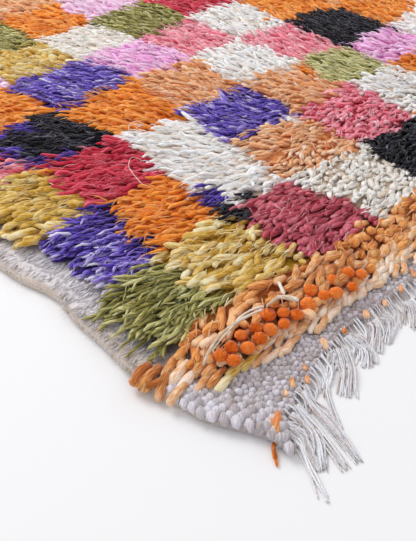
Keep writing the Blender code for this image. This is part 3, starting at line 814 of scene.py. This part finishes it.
def groundMaterial():
    # undyed wool, packed and felted: matt, off-white with a lilac cast, browner on the rounded side edges as
    # painted shade
    material = bpy.data.materials.new("packedUndyedWool")
    material.use_nodes = True
    tree = material.node_tree
    tree.nodes.clear()
    place = addNode(tree, "ShaderNodeTexCoord")
    uvMap = addNode(tree, "ShaderNodeUVMap", {"uv_map": "clothMap"})
    grain = addNode(tree, "ShaderNodeTexNoise", {"Scale": 240.0, "Detail": 4.0, "Roughness": 0.6},
                    {"Vector": place.outputs["Object"]})
    # felted hair lies combed across the selvedge, in strokes about 1 mm by 9 mm
    combed = addNode(tree, "ShaderNodeTexNoise",
                     {"noise_dimensions": "2D", "Scale": 1.0, "Detail": 4.0, "Roughness": 0.65,
                      "Distortion": 0.4},
                     {"Vector": uvMap.outputs[0]})
    selvedge = addNode(tree, "ShaderNodeAttribute", {"attribute_name": "selvedge"})
    lumps = addNode(tree, "ShaderNodeMix", {"data_type": "FLOAT"},
                    {0: selvedge.outputs["Fac"], 2: grain.outputs[0], 3: combed.outputs[0]})
    cloud = addNode(tree, "ShaderNodeTexNoise", {"Scale": 34.0, "Detail": 2.0},
                    {"Vector": place.outputs["Object"]})
    both = addNode(tree, "ShaderNodeMath", {"operation": "MULTIPLY_ADD", 1: 0.45},
                   {0: cloud.outputs[0], 2: lumps.outputs[0]})
    ramp = addNode(tree, "ShaderNodeValToRGB", None, {0: both.outputs[0]})
    stops = ramp.color_ramp.elements
    stops[0].position, stops[1].position = 0.5, 0.95
    stops[0].color, stops[1].color = linearColour("#968C8A"), linearColour("#BEB6BA")
    fleeceShare = addNode(tree, "ShaderNodeMapRange",
                          {"From Min": 0.4, "From Max": 0.9, "To Min": 0.0, "To Max": 1.0},
                          {"Value": both.outputs[0]})
    pale = addNode(tree, "ShaderNodeMix",
                   {"data_type": "RGBA", 6: linearColour("#CABFBC"), 7: linearColour("#F0EBEC")},
                   {0: fleeceShare.outputs[0]})
    clothColour = addNode(tree, "ShaderNodeMix", {"data_type": "RGBA"},
                          {0: selvedge.outputs["Fac"], 6: ramp.outputs[0], 7: pale.outputs[2]})
    # painted shade: brown mixed in along the rounded side edges
    paintedEdgeShade = addNode(tree, "ShaderNodeAttribute", {"attribute_name": "paintedEdgeShade"})
    colour = addNode(tree, "ShaderNodeMix", {"data_type": "RGBA", 7: linearColour("#BEA88E")},
                     {0: paintedEdgeShade.outputs["Fac"], 6: clothColour.outputs[2]})
    relief = addNode(tree, "ShaderNodeBump", {"Strength": 0.5, "Distance": 1.6 * mm},
                     {"Height": lumps.outputs[0]})
    shader = addNode(tree, "ShaderNodeBsdfPrincipled",
                     {"Roughness": 0.9, "Specular IOR Level": 0.15,
                      "Sheen Weight": 0.3, "Sheen Roughness": 0.5},
                     {"Base Color": colour.outputs[2], "Normal": relief.outputs[0]})
    addNode(tree, "ShaderNodeOutputMaterial", None, {0: shader.outputs[0]})
    return material


plainWool = groundMaterial()
edgeSteps = [0, 0.7, 2.0, 3.8, 6.5, 10, 15, 21]  # grid lines of the cloth, mm from its edge


def sharesFor(length, count):
    # grid lines closer together near both edges, where the cloth rounds over
    near = np.array(edgeSteps) * mm / length
    inner = np.linspace(near[-1], 1 - near[-1], count - 2 * len(near) + 2)
    return np.concatenate([near[:-1], inner, 1 - near[:-1][::-1]])


def clothThickness(left, right):
    side = np.minimum(left, right)
    return (6.5 + 3.0 * (1 - ease((side - 10 * mm) / (15 * mm)))) * mm


def makeCloth():
    acrossCount, alongCount = 64, 80
    cloth, points = modelSlab("groundCloth", acrossCount, alongCount)
    across = sharesFor(rugWidth, acrossCount + 1)[np.round((points[:, 0] + 1) / 2 * acrossCount).astype(int)]
    along = sharesFor(rugLength, alongCount + 1)[np.round((points[:, 1] + 1) / 2 * alongCount).astype(int)]
    spot = ground.at(across, along)
    left, right = across * rugWidth, (1 - across) * rugWidth
    near, far = along * rugLength, (1 - along) * rugLength
    edge = np.min((left, right, near, far), axis=0)
    thick = clothThickness(left, right)
    middle = thick / 2
    bulge = np.sqrt(1 - (1 - np.clip(edge / (4.2 * mm), 0, 1)) ** 2) * 0.88 + 0.12
    puff = 0.5 * mm * waves(spot[:, 0], spot[:, 1], 0.022, 2.0) * ease(edge / (5 * mm))
    height = np.where(points[:, 2] > 0.5, middle + middle * bulge + puff, middle - middle * bulge)
    layOut(cloth, spot, height)
    side = np.minimum(left, right)
    # painted shade: brown on the rounded side edges, reaching further in towards the near corner
    deep = 5 + 22 * ease((-0.375 - spot[:, 1]) / 0.06)
    blotches = 0.8 + 0.2 * waves(spot[:, 0], spot[:, 1], 0.05, 1.0)
    paintedEdgeShade = (1 - ease((side / mm - deep * 0.4) / deep)) * blotches
    paintedEdgeShade = paintedEdgeShade * ease((near - 40 * mm) / (50 * mm)) * 0.85
    selvedge = (1 - ease((side / mm - 26) / 8)) * ease((near - 70 * mm) / (30 * mm))
    addFloats(cloth.data, {"paintedEdgeShade": paintedEdgeShade, "selvedge": selvedge})
    wrap = np.where(points[:, 2] > 0.5, 0.0, 7.0)
    uv = np.stack([near / mm / 1.3, (side / mm + wrap) / 10.0], -1)
    corners = np.array([v for face in cloth.data.polygons for v in face.vertices])
    cloth.data.uv_layers.new(name="clothMap").data.foreach_set("uv", uv[corners].astype(np.float32).ravel())
    return wearOn(cloth, plainWool)


def makeBeads(name, endName, rowCount, seed):
    # one hump of packed weft over each pair of warps, in brick order
    dice = np.random.default_rng(seed)
    pitchAlong, pitchAcross = 4.3 * mm, 6.2 * mm
    if endName == "far":
        pitchAlong, pitchAcross = 5.6 * mm, 9.0 * mm
    centres, tones, sizes = [], [], []
    for index in range(rowCount):
        depth = (1.6 * mm + index * pitchAlong) / rugLength
        along = depth if endName == "near" else 1 - depth
        across = np.arange(2.5 * mm / rugWidth, 1 - 2.5 * mm / rugWidth, pitchAcross / rugWidth)
        across = across + (index % 2) * pitchAcross / rugWidth / 2
        across = across + dice.normal(0, 0.7 * mm / rugWidth, across.shape)
        across = across[across < 1 - 3 * mm / rugWidth]
        place = ground.at(across, along + dice.normal(0, 0.6 * mm / rugLength, across.shape))
        # humps grow where the drawn-out corner stretches the weave
        level = np.full(len(across), along)
        tipward = ground.at(across + 1 * mm / rugWidth, level) - ground.at(across, level)
        stretch = np.linalg.norm(tipward, axis=1)
        tipward = tipward / stretch[:, None]
        endward = ground.at(across, level + 1 * mm / rugLength) - ground.at(across, level)
        growth = np.clip(np.stack([stretch, np.linalg.norm(endward, axis=1)]) / mm, 0.95, 1.6)
        thick = clothThickness(across * rugWidth, (1 - across) * rugWidth)
        sink = 0.4 * mm + (1.2 * mm if index == 0 else 0.0)
        half = 0.64 * pitchAcross * growth[0] * dice.uniform(0.85, 1.15, len(across))
        keep = np.min(pileFoot.distances(place[:, 0], place[:, 1]), axis=0) < 6 * mm
        uneven = 0.4 * waves(place[:, 0], place[:, 1], 0.017, 4.0) + dice.normal(0, 0.2, len(across))
        lift = thick - sink + uneven * mm
        # no hump reaches down through the cloth
        lift = np.maximum(lift, (4.8 if endName == "near" else 6.2) * mm)
        line = []
        for height in beadShape["heights"]:
            shift = (height - 0.5) * 2
            point = place + tipward * (shift * half)[:, None]
            line.append(np.concatenate([point, (lift - 1.2 * mm * shift ** 2)[:, None]], 1))
        centres.append(np.stack(line, 1)[keep])
        tones.append(dice.uniform(0.2, 0.75, int(keep.sum())) + 0.2 * np.exp(-across[keep] * rugWidth / 0.06))
        sizes.append(np.mean(growth, axis=0)[keep])
    centres = np.concatenate(centres)
    radius = 0.84 * pitchAlong * np.concatenate(sizes) * dice.uniform(0.85, 1.12, len(centres))
    piece = sweepCopies(name, beadShape, centres, radius, dice, 1.0, np.concatenate(tones), 0.06)
    print(name, len(centres), "beads", beadShape["triangles"] * len(centres), "triangles")
    return wearOn(piece, weftWool)


def makeWraps():
    # weft turned round the outermost cords, low ribs across each selvedge, blurred by felting
    dice = np.random.default_rng(7)
    lines, tones = [], []
    for sideName in ("left", "right"):
        count = int(rugLength / (4.9 * mm))
        along = (np.arange(count) + 0.5) / count + dice.normal(0, 0.4 * mm / rugLength, count)
        line = []
        for height in wrapShape["heights"]:
            depth = np.interp(height, [0, 0.45, 0.75, 1], [17, 6, 1.0, 1.2]) * mm
            level = np.interp(height, [0, 0.45, 0.75, 1], [6.6, 7.6, 6.0, 3.0]) * mm
            across = depth / rugWidth if sideName == "left" else 1 - depth / rugWidth
            spot = ground.at(np.full(count, across), along)
            line.append(np.concatenate([spot, np.full((count, 1), level)], 1))
        lines.append(np.stack(line, 1))
        tones.append(dice.uniform(0.2, 0.9, count))
    lines = np.concatenate(lines)
    radius = 2.4 * mm * dice.uniform(0.9, 1.1, len(lines))
    piece = sweepCopies("selvedgeWraps", wrapShape, lines, radius, dice, 1.0, np.concatenate(tones), 0.05)
    return wearOn(piece, edgeWool)


weftWool = woolMaterial("packedWeftWool", ["#948682", "#B2A8A8", "#CCC5CA", "#E4E0E8"],
                        fibre=1.0, bump=0.5, sheen=0.35, tipFadeAndShade=0.0, rootShadeAndSoil=0.0)
# the wraps run paler at their inner end and darker where they round over and down the outer edge: painted
# shade, set by the negative root and tip values
edgeWool = woolMaterial("feltedEdgeWool", ["#A08C76", "#BAAC9A", "#D0C6BC", "#E4DEDC"],
                        fibre=1.0, bump=0.4, sheen=0.4, tipFadeAndShade=-0.25, rootShadeAndSoil=-0.25)
cloth = makeCloth()
nearBeads = makeBeads("nearWeftBeads", "near", 24, 11)
farBeads = makeBeads("farWeftBeads", "far", 8, 12)
wraps = makeWraps()
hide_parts("ground_weave")
print("ground made")


# Fringe: warp strings left long, in bundles, some still joined as loops

# Bundles seen in the photo: path (x, y in mm), strings, width at root and at tip (mm), loops
nearBundles = [
    ([(-394, -589), (-392, -604), (-400, -620), (-408, -636), (-416, -652)], 7, 6, 3, 0),
    ([(-391, -588), (-388, -600), (-395, -616), (-402, -630)], 5, 5, 4, 0),
    ([(-388, -587), (-382, -598), (-389, -613), (-399, -631)], 6, 5, 4, 1),
    ([(-378, -583), (-376, -595), (-382, -608)], 6, 6, 7, 0),
    ([(-369, -580), (-373, -601), (-380, -613), (-396, -633)], 7, 6, 4, 1),
    ([(-368, -579), (-371, -602), (-377, -620), (-385, -644)], 8, 6, 6, 0),
    ([(-353, -573), (-359, -595), (-366, -622), (-372, -647)], 7, 5, 5, 2),
    ([(-347, -570), (-356, -602), (-363, -621)], 5, 4, 6, 0),
    ([(-303, -562), (-316, -570), (-333, -580), (-343, -588)], 4, 4, 4, 0),
    ([(-301, -565), (-331, -582), (-343, -594), (-360, -618)], 4, 3, 2, 0),
    ([(-294, -565), (-306, -583), (-330, -602)], 14, 12, 14, 0),
    ([(-280, -560), (-280, -579), (-295, -592)], 10, 9, 12, 0),
    ([(-276, -567), (-273, -577), (-287, -595)], 8, 8, 8, 0),
    ([(-251, -564), (-254, -573), (-275, -588)], 10, 10, 11, 0),
    ([(-238, -567), (-239, -577), (-259, -590)], 9, 9, 9, 0),
    ([(-206, -571), (-209, -581), (-227, -598)], 12, 9, 12, 0),
]


def endAt(side, x):
    return float(np.interp(x * mm, side[1][:, 0], side[1][:, 1])) / mm


def ruledBundles(side, outward, xs):
    group = []
    for index, x in enumerate(xs):
        lean = math.radians(16 + 9 * math.sin(0.5 * (index + 9)))
        length = 50 + 8 * math.sin(1.9 * (index + 9))
        y = endAt(side, x)
        way = np.array((-math.sin(lean), outward * math.cos(lean)))
        tip = np.array((x, y)) + way * length
        middle = np.array((x, y)) + way * length * 0.45 + np.array((5.0, 0.0))
        group.append(([(x, y - outward * 3), tuple(middle), tuple(tip)], 12, 10, 11, index % 2))
    return group


def makeFringe():
    for endName, side, outward in (("Near", ground.near, -1), ("Far", ground.far, 1)):
        dice = np.random.default_rng(21 + outward)
        group = list(nearBundles) if outward < 0 else []
        group += ruledBundles(side, outward, range(-168, 420, 36) if outward < 0 else range(-410, 420, 36))
        # short strings between the bundles, so that no part of the end is bare
        for x in np.arange(-396 if outward < 0 else -418, 420, 3.3 if outward < 0 else 8.0):
            full = ease((x + 340) / 40)
            length = 16 + (15 + 5 * math.sin(x * 0.11)) * full + abs(dice.normal(0, 3))
            lean = math.radians(24 + 19 * full + 5 * math.sin(x * 0.07) + dice.normal(0, 4))
            x = x + dice.normal(0, 0.9)
            y = endAt(side, x)
            tip = (x - math.sin(lean) * length, y + outward * math.cos(lean) * length)
            middle = (x - math.sin(lean) * length * 0.34 + 2.5, y + outward * length * 0.42)
            group.append(([(x, y - outward * 3), middle, tip], 1, 1, 3, 0))
        strings, loops = [], []
        for points, count, rootWidth, tipWidth, loopCount in group:
            path = smoothPath(np.array(points, float))
            spans = np.concatenate([[0], np.cumsum(np.linalg.norm(np.diff(path, axis=0), axis=1))])
            onward = np.gradient(path, axis=0)
            onward = onward / np.linalg.norm(onward, axis=1, keepdims=True)
            sideways = np.stack([-onward[:, 1], onward[:, 0]], -1)
            total = count + loopCount * 2
            for number in range(total):
                isLoop = number >= count
                steps = loopShape["heights"] if isLoop else stringShape["heights"]
                share = 1 - np.abs(1 - steps * 2) if isLoop else steps
                reach = min(1.0, 1.03 - abs(dice.normal(0, 0.10)))
                at = share * spans[-1] * reach
                line = np.stack([np.interp(at, spans, path[:, axis]) for axis in (0, 1)], -1)
                across = np.stack([np.interp(at, spans, sideways[:, axis]) for axis in (0, 1)], -1)
                spread = (number + 0.5) / total - 0.5 + dice.normal(0, 0.06)
                width = rootWidth + (tipWidth - rootWidth) * share ** 1.5
                off = spread * width + dice.normal(0, 1.2) * share ** 2
                off = off + dice.normal(0, 0.9) * np.sin(share * math.tau * dice.uniform(0.6, 1.2))
                if isLoop:
                    off = off + np.sin(steps * math.tau) * 2.4
                line = line + across * off[:, None]
                drop = 1 - ease((share * spans[-1] - 1.5) / dice.uniform(10, 17))
                height = 0.9 + 5.3 * drop + abs(dice.normal(0, 1.6)) * np.sin(share * math.pi)
                centre = np.concatenate([line, height[:, None]], 1) * mm
                (loops if isLoop else strings).append(centre)
        radius = 0.84 * mm * dice.uniform(0.85, 1.15, len(strings))
        tones = dice.uniform(0.25, 0.95, len(strings))
        made = sweepCopies("fringe" + endName, stringShape, np.array(strings), radius, dice, 1.0, tones, 0.04)
        wearOn(made, warpCotton)
        radius, tones = np.full(len(loops), 0.84 * mm), dice.uniform(0.5, 0.95, len(loops))
        made = sweepCopies("fringeLoops" + endName, loopShape, np.array(loops), radius, dice,
                           1.0, tones, 0.04)
        wearOn(made, warpCotton)
        print("fringe", endName, len(strings), "strings", len(loops), "loops")
    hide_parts("fringe_near")
    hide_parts("fringe_far")


warpCotton = woolMaterial("pliedWarpString", ["#AC9A92", "#DCD2D0", "#F2EEF2", "#FFFFFF"],
                          fibre=0.8, twist=0.9, bump=0.6, sheen=0.2, tipFadeAndShade=0.0, rootShadeAndSoil=0.05)
makeFringe()


# Stray yarn: bits of pile wool at the fringe roots, a tuft hanging over the selvedge, loose warp strings

def strayLines(shape, table):
    lines, radii, tones = [], [], []
    for points, thick, tone in table:
        path = smoothPath(np.array(points, float))
        spans = np.concatenate([[0], np.cumsum(np.linalg.norm(np.diff(path, axis=0), axis=1))])
        at = shape["heights"] * spans[-1]
        lines.append(np.stack([np.interp(at, spans, path[:, axis]) for axis in range(3)], -1) * mm)
        radii.append(thick / 2 * mm)
        tones.append(tone)
    return np.array(lines), np.array(radii), np.array(tones)


# points (x, y, z in mm), thickness in mm, tone
strayYarn = {
    "Cord": [
        ([(-423, -472, 13), (-432, -473, 14), (-441, -475, 11), (-446, -477, 6)], 11.0, 0.12),
        ([(-419, -480, 13), (-429, -481, 14), (-438, -483, 11), (-444, -486, 5)], 11.5, 0.2),
        ([(-414, -487, 13), (-424, -491, 13), (-434, -496, 10), (-441, -501, 4)], 9.5, 0.28),
        ([(-446, -482, 8), (-440, -488, 12), (-432, -492, 14), (-424, -492, 13)], 7.0, 0.05),
        ([(-398, -482, 16), (-408, -484, 15), (-418, -487, 13), (-426, -490, 11)], 10.0, 0.30),
        ([(-400, -493, 15), (-410, -495, 14), (-420, -497, 12), (-428, -500, 9)], 9.5, 0.80),
        ([(-402, -503, 13), (-411, -505, 12.5), (-420, -506, 10.5), (-427, -508, 8)], 9.5, 0.92),
        ([(-416, -508, 13), (-425, -509, 12.5), (-433, -510, 10.5), (-440, -511, 7)], 8.5, 0.62),
        ([(-386, -501, 16), (-394, -503, 15), (-402, -504, 13), (-409, -505, 11)], 9.0, 0.42),
        ([(-380, -508, 14), (-388, -509, 13.5), (-396, -511, 12), (-403, -513, 10)], 9.0, 0.34),
        ([(-394, -513, 12), (-402, -514, 11.5), (-410, -516, 10), (-417, -518, 8)], 8.5, 0.5),
        ([(-382, -517, 12), (-391, -518, 11.5), (-400, -520, 10), (-407, -521, 8)], 8.0, 0.30),
    ],
    "Yellow": [
        ([(-385, -526, 11), (-392, -527, 11), (-399, -528, 9.5), (-405, -529, 8)], 9.0, 0.95),
        ([(-366, -522, 12), (-374, -523, 12), (-382, -524, 10.5), (-389, -525, 9)], 9.0, 0.55),
        ([(-350, -524, 12), (-359, -525, 12), (-368, -526, 10.5), (-375, -527, 9)], 8.0, 0.5),
    ],
    "Orange": [
        ([(-402, -589, 4), (-408, -593, 3), (-415, -602, 2)], 3.6, 0.16),
        ([(-405, -591, 4), (-410, -596, 2.5), (-418, -606, 1.5)], 3.0, 0.2),
    ],
    "Cream": [
        ([(-288, -486, 26), (-292, -492, 32), (-297, -499, 34), (-302, -508, 33)], 3.2, 0.5),
        ([(-320, -503, 28), (-309, -506, 34), (-303, -514, 35), (-299, -522, 34)], 4.4, 0.3),
    ],
    "Peach": [
        ([(-384, -576, 8.5), (-391, -581, 11), (-398, -587, 10), (-405, -591, 6)], 8.0, 0.0),
        ([(-391, -574, 8), (-396, -579, 10), (-401, -585, 7.5)], 6.0, 0.2),
        ([(-350, -560, 8), (-354, -564, 8.5), (-357, -568, 7.5)], 5.0, 0.30),
        ([(-364, -565, 8), (-367, -570, 7.5)], 5.0, 0.40),
        ([(-333, -558, 8.5), (-336, -563, 8)], 4.4, 0.15),
        ([(-340, -567, 8), (-345, -573, 7.5)], 4.6, 0.25),
        ([(-299, -549, 8.5), (-302, -554, 8.5), (-306, -560, 8)], 6.5, 0.55),
        ([(-276, -554, 8.5), (-280, -559, 8)], 4.4, 0.05),
        ([(-246, -554, 8.5), (-252, -561, 8)], 6.0, 0.45),
        ([(-223, -558, 8.5), (-228, -563, 7.5)], 4.6, 0.40),
        ([(-196, -556, 8.5), (-202, -562, 7.5)], 4.4, 0.15),
        ([(-171, -551, 8.5), (-177, -559, 8)], 5.0, 0.10),
    ],
}
looseStrings = [
    ([(-404, -514, 28), (-393, -509, 32), (-376, -504, 34), (-359, -504, 36), (-342, -505, 35),
      (-326, -505, 31)], 2.5, 0.3),
    ([(-390, -509, 30), (-378, -507, 33), (-366, -506, 36), (-350, -502, 36), (-336, -502, 35),
      (-322, -503, 31)], 1.9, 0.45),
    ([(-243, -249, 26), (-247, -246, 31), (-254, -245, 34), (-263, -252, 35), (-270, -261, 35),
      (-275, -277, 34), (-276, -290, 31), (-270, -296, 27)], 0.7, 0.5),
    ([(-191, -190, 28), (-200, -188, 34), (-213, -192, 36), (-224, -203, 31)], 0.8, 0.5),
]


def makeStrays():
    dice = np.random.default_rng(31)
    for name, table in strayYarn.items():
        table = list(table)
        if name == "Peach":
            # leftover pile wool caught in the ends all along the rug
            for end, edge in ((ground.near, 1), (ground.far, -1)):
                for x in np.arange(-150 if edge > 0 else -400, 410, 29):
                    px = x + dice.normal(0, 8)
                    y = endAt(end, px) + edge * dice.uniform(2, 14)
                    bit = [(px, y, 8.2), (px + dice.normal(0, 3), y - 6, 7.6)]
                    table.append((bit, dice.uniform(3.6, 5.2), dice.uniform(0.2, 0.7)))
        shape = lockShape if name == "Orange" else cordShape
        lines, radii, tones = strayLines(shape, table)
        tones = tones + (0.2 if name == "Peach" else 0.0)
        piece = sweepCopies("stray" + name, shape, lines, radii, dice, 0.9, tones, 0.1)
        wearOn(piece, rimWool if name == "Cord" else yarnWool[name])
    lines, radii, tones = strayLines(loopShape, looseStrings)
    piece = sweepCopies("looseWarpStrings", loopShape, lines, radii, dice, 1.0, tones, 0.1)
    wearOn(piece, yarnWool["Cream"])


makeStrays()


# Wool hair that stands off the felted edge and the flatwoven ends

def makeHair():
    dice = np.random.default_rng(51)
    places, ways = [], []
    for _ in range(2000):
        pick = dice.uniform()
        along = dice.uniform(0, 1)
        if pick < 0.74:
            across = dice.uniform(0, 27) * mm / rugWidth
            along = dice.uniform(0, 0.55) if pick < 0.62 else dice.uniform(0.55, 1)
            way = math.radians(90 + dice.normal(0, 24))
        elif pick < 0.86:
            across = 1 - dice.uniform(0, 20) * mm / rugWidth
            way = math.radians(270 + dice.normal(0, 30))
        else:
            across = dice.uniform(0, 1)
            along = dice.uniform(0, 50) * mm / rugLength
            if pick > 0.94:
                along = 1 - along
            way = dice.uniform(0, math.tau)
        places.append(ground.at(np.array([across]), np.array([along]))[0])
        ways.append(way)
    places, ways = np.array(places), np.array(ways)
    left, right, near, far = ground.distances(places[:, 0], places[:, 1])
    thick = clothThickness(left, right)
    edge = np.clip(np.min((left, right, near, far), axis=0) / (4.2 * mm), 0, 1)
    base = thick / 2 + thick / 2 * np.sqrt(1 - (1 - edge) ** 2) + 0.3 * mm
    direction = np.stack([-np.sin(ways), -np.cos(ways)], -1)
    side = np.stack([direction[:, 1], -direction[:, 0]], -1)
    length = dice.uniform(5, 13, len(places)) * mm
    curl = dice.normal(0, 0.35, len(places)) * length
    rise = dice.uniform(0.03, 0.2, len(places)) * length
    line = []
    for height in hairShape["heights"]:
        spot = places + direction * (length * height)[:, None] + side * (curl * height ** 2)[:, None]
        line.append(np.concatenate([spot, (base + rise * np.sin(height * 2.6))[:, None]], 1))
    radius, tones = np.full(len(places), 0.22 * mm), dice.uniform(0.5, 1.0, len(places))
    piece = sweepCopies("edgeHair", hairShape, np.stack(line, 1), radius, dice, 1.0, tones, 0.0)
    return wearOn(piece, weftWool)


def makeFleece():
    # white wool combed out over the left selvedge, from the foot of the pile to the edge
    dice = np.random.default_rng(61)
    count = 1700
    depth = dice.uniform(8, 42, count)
    along = dice.uniform(0.06, 0.62, count)
    root = ground.at(depth * mm / rugWidth, along)
    way = np.radians(92 + dice.normal(0, 11, count) + 14 * waves(root[:, 0], root[:, 1], 0.05, 3.0))
    direction = np.stack([-np.sin(way), -np.cos(way)], -1)
    length = np.minimum(dice.uniform(12, 22, count), depth - 2) * mm
    bend = np.stack([direction[:, 1], -direction[:, 0]], -1) * (dice.normal(0, 0.2, count) * length)[:, None]
    level = clothThickness(depth * mm, rugWidth - depth * mm) + 0.2 * mm
    line = []
    for height in fleeceShape["heights"]:
        spot = root + direction * (length * height)[:, None] + bend * height
        lift = level + dice.uniform(0, 1.2, count) * mm * (1 - height) + 0.2 * mm
        line.append(np.concatenate([spot, lift[:, None]], 1))
    # hairs within 12 mm of the edge are darker: painted shade on the rounded edge
    tones = np.clip(0.8 + dice.normal(0, 0.1, count) - 0.6 * (depth < 12), 0, 1)
    radius = dice.uniform(0.5, 1.1, count) * mm
    piece = sweepCopies("selvedgeFleece", fleeceShape, np.stack(line, 1), radius, dice, 0.6, tones, 0.0)
    return wearOn(piece, fleeceWool)


fleeceWool = woolMaterial("combedWhiteFleece", ["#B0A496", "#D0C6C2", "#E0D8D8", "#EEE8EC"],
                          fibre=0.5, bump=0.15, sheen=0.1, tipFadeAndShade=0.0, rootShadeAndSoil=0.0)
hair = makeHair()
fleece = makeFleece()


# Stage, light and camera

def makeStage():
    deselectAll()
    bpy.ops.mesh.primitive_plane_add(size=12, location=(0, 0, 0))
    floor = bpy.context.object
    floor.name = "floor"
    material = bpy.data.materials.new("paleMattFloor")
    material.use_nodes = True
    shader = material.node_tree.nodes["Principled BSDF"]
    shader.inputs["Base Color"].default_value = linearColour("#EDEDED")
    shader.inputs["Roughness"].default_value = 0.9
    shader.inputs["Specular IOR Level"].default_value = 0.1
    floor.data.materials.append(material)


lights = {
    "world": 0.78,
    "sky": (0.98, 0.97, 1.0, 1.0),
    "softbox": {"at": (-0.35, 1.7, 2.1), "aim": (-0.1, -0.1, 0.0), "size": 1.6, "power": 50.0},
}


def makeLights():
    world = bpy.data.worlds.new("paleStudio")
    bpy.context.scene.world = world
    world.use_nodes = True
    world.node_tree.nodes["Background"].inputs[0].default_value = lights["sky"]
    world.node_tree.nodes["Background"].inputs[1].default_value = lights["world"]
    box = lights["softbox"]
    deselectAll()
    bpy.ops.object.light_add(type="AREA", location=box["at"])
    lamp = bpy.context.object
    lamp.name = "softbox"
    lamp.data.size = box["size"]
    lamp.data.energy = box["power"]
    lamp.rotation_euler = (Vector(box["aim"]) - Vector(box["at"])).to_track_quat("-Z", "Y").to_euler()


view = {"at": (-0.6765, -0.8131, 0.4701), "aim": (-0.3214, -0.4338, 0.028), "roll": -1.3, "lens": 50.5}


def makeCamera():
    deselectAll()
    bpy.ops.object.camera_add(location=view["at"])
    camera = bpy.context.object
    look = (Vector(view["aim"]) - Vector(view["at"])).to_track_quat("-Z", "Y").to_matrix()
    camera.rotation_euler = (look @ Matrix.Rotation(math.radians(view["roll"]), 3, "Z")).to_euler()
    camera.data.lens = view["lens"]
    camera.data.sensor_width = 36
    camera.data.clip_start = 0.01
    bpy.context.scene.camera = camera


makeStage()
makeLights()
makeCamera()
bpy.context.scene.view_settings.view_transform = "Standard"
print("stage, light and camera made")
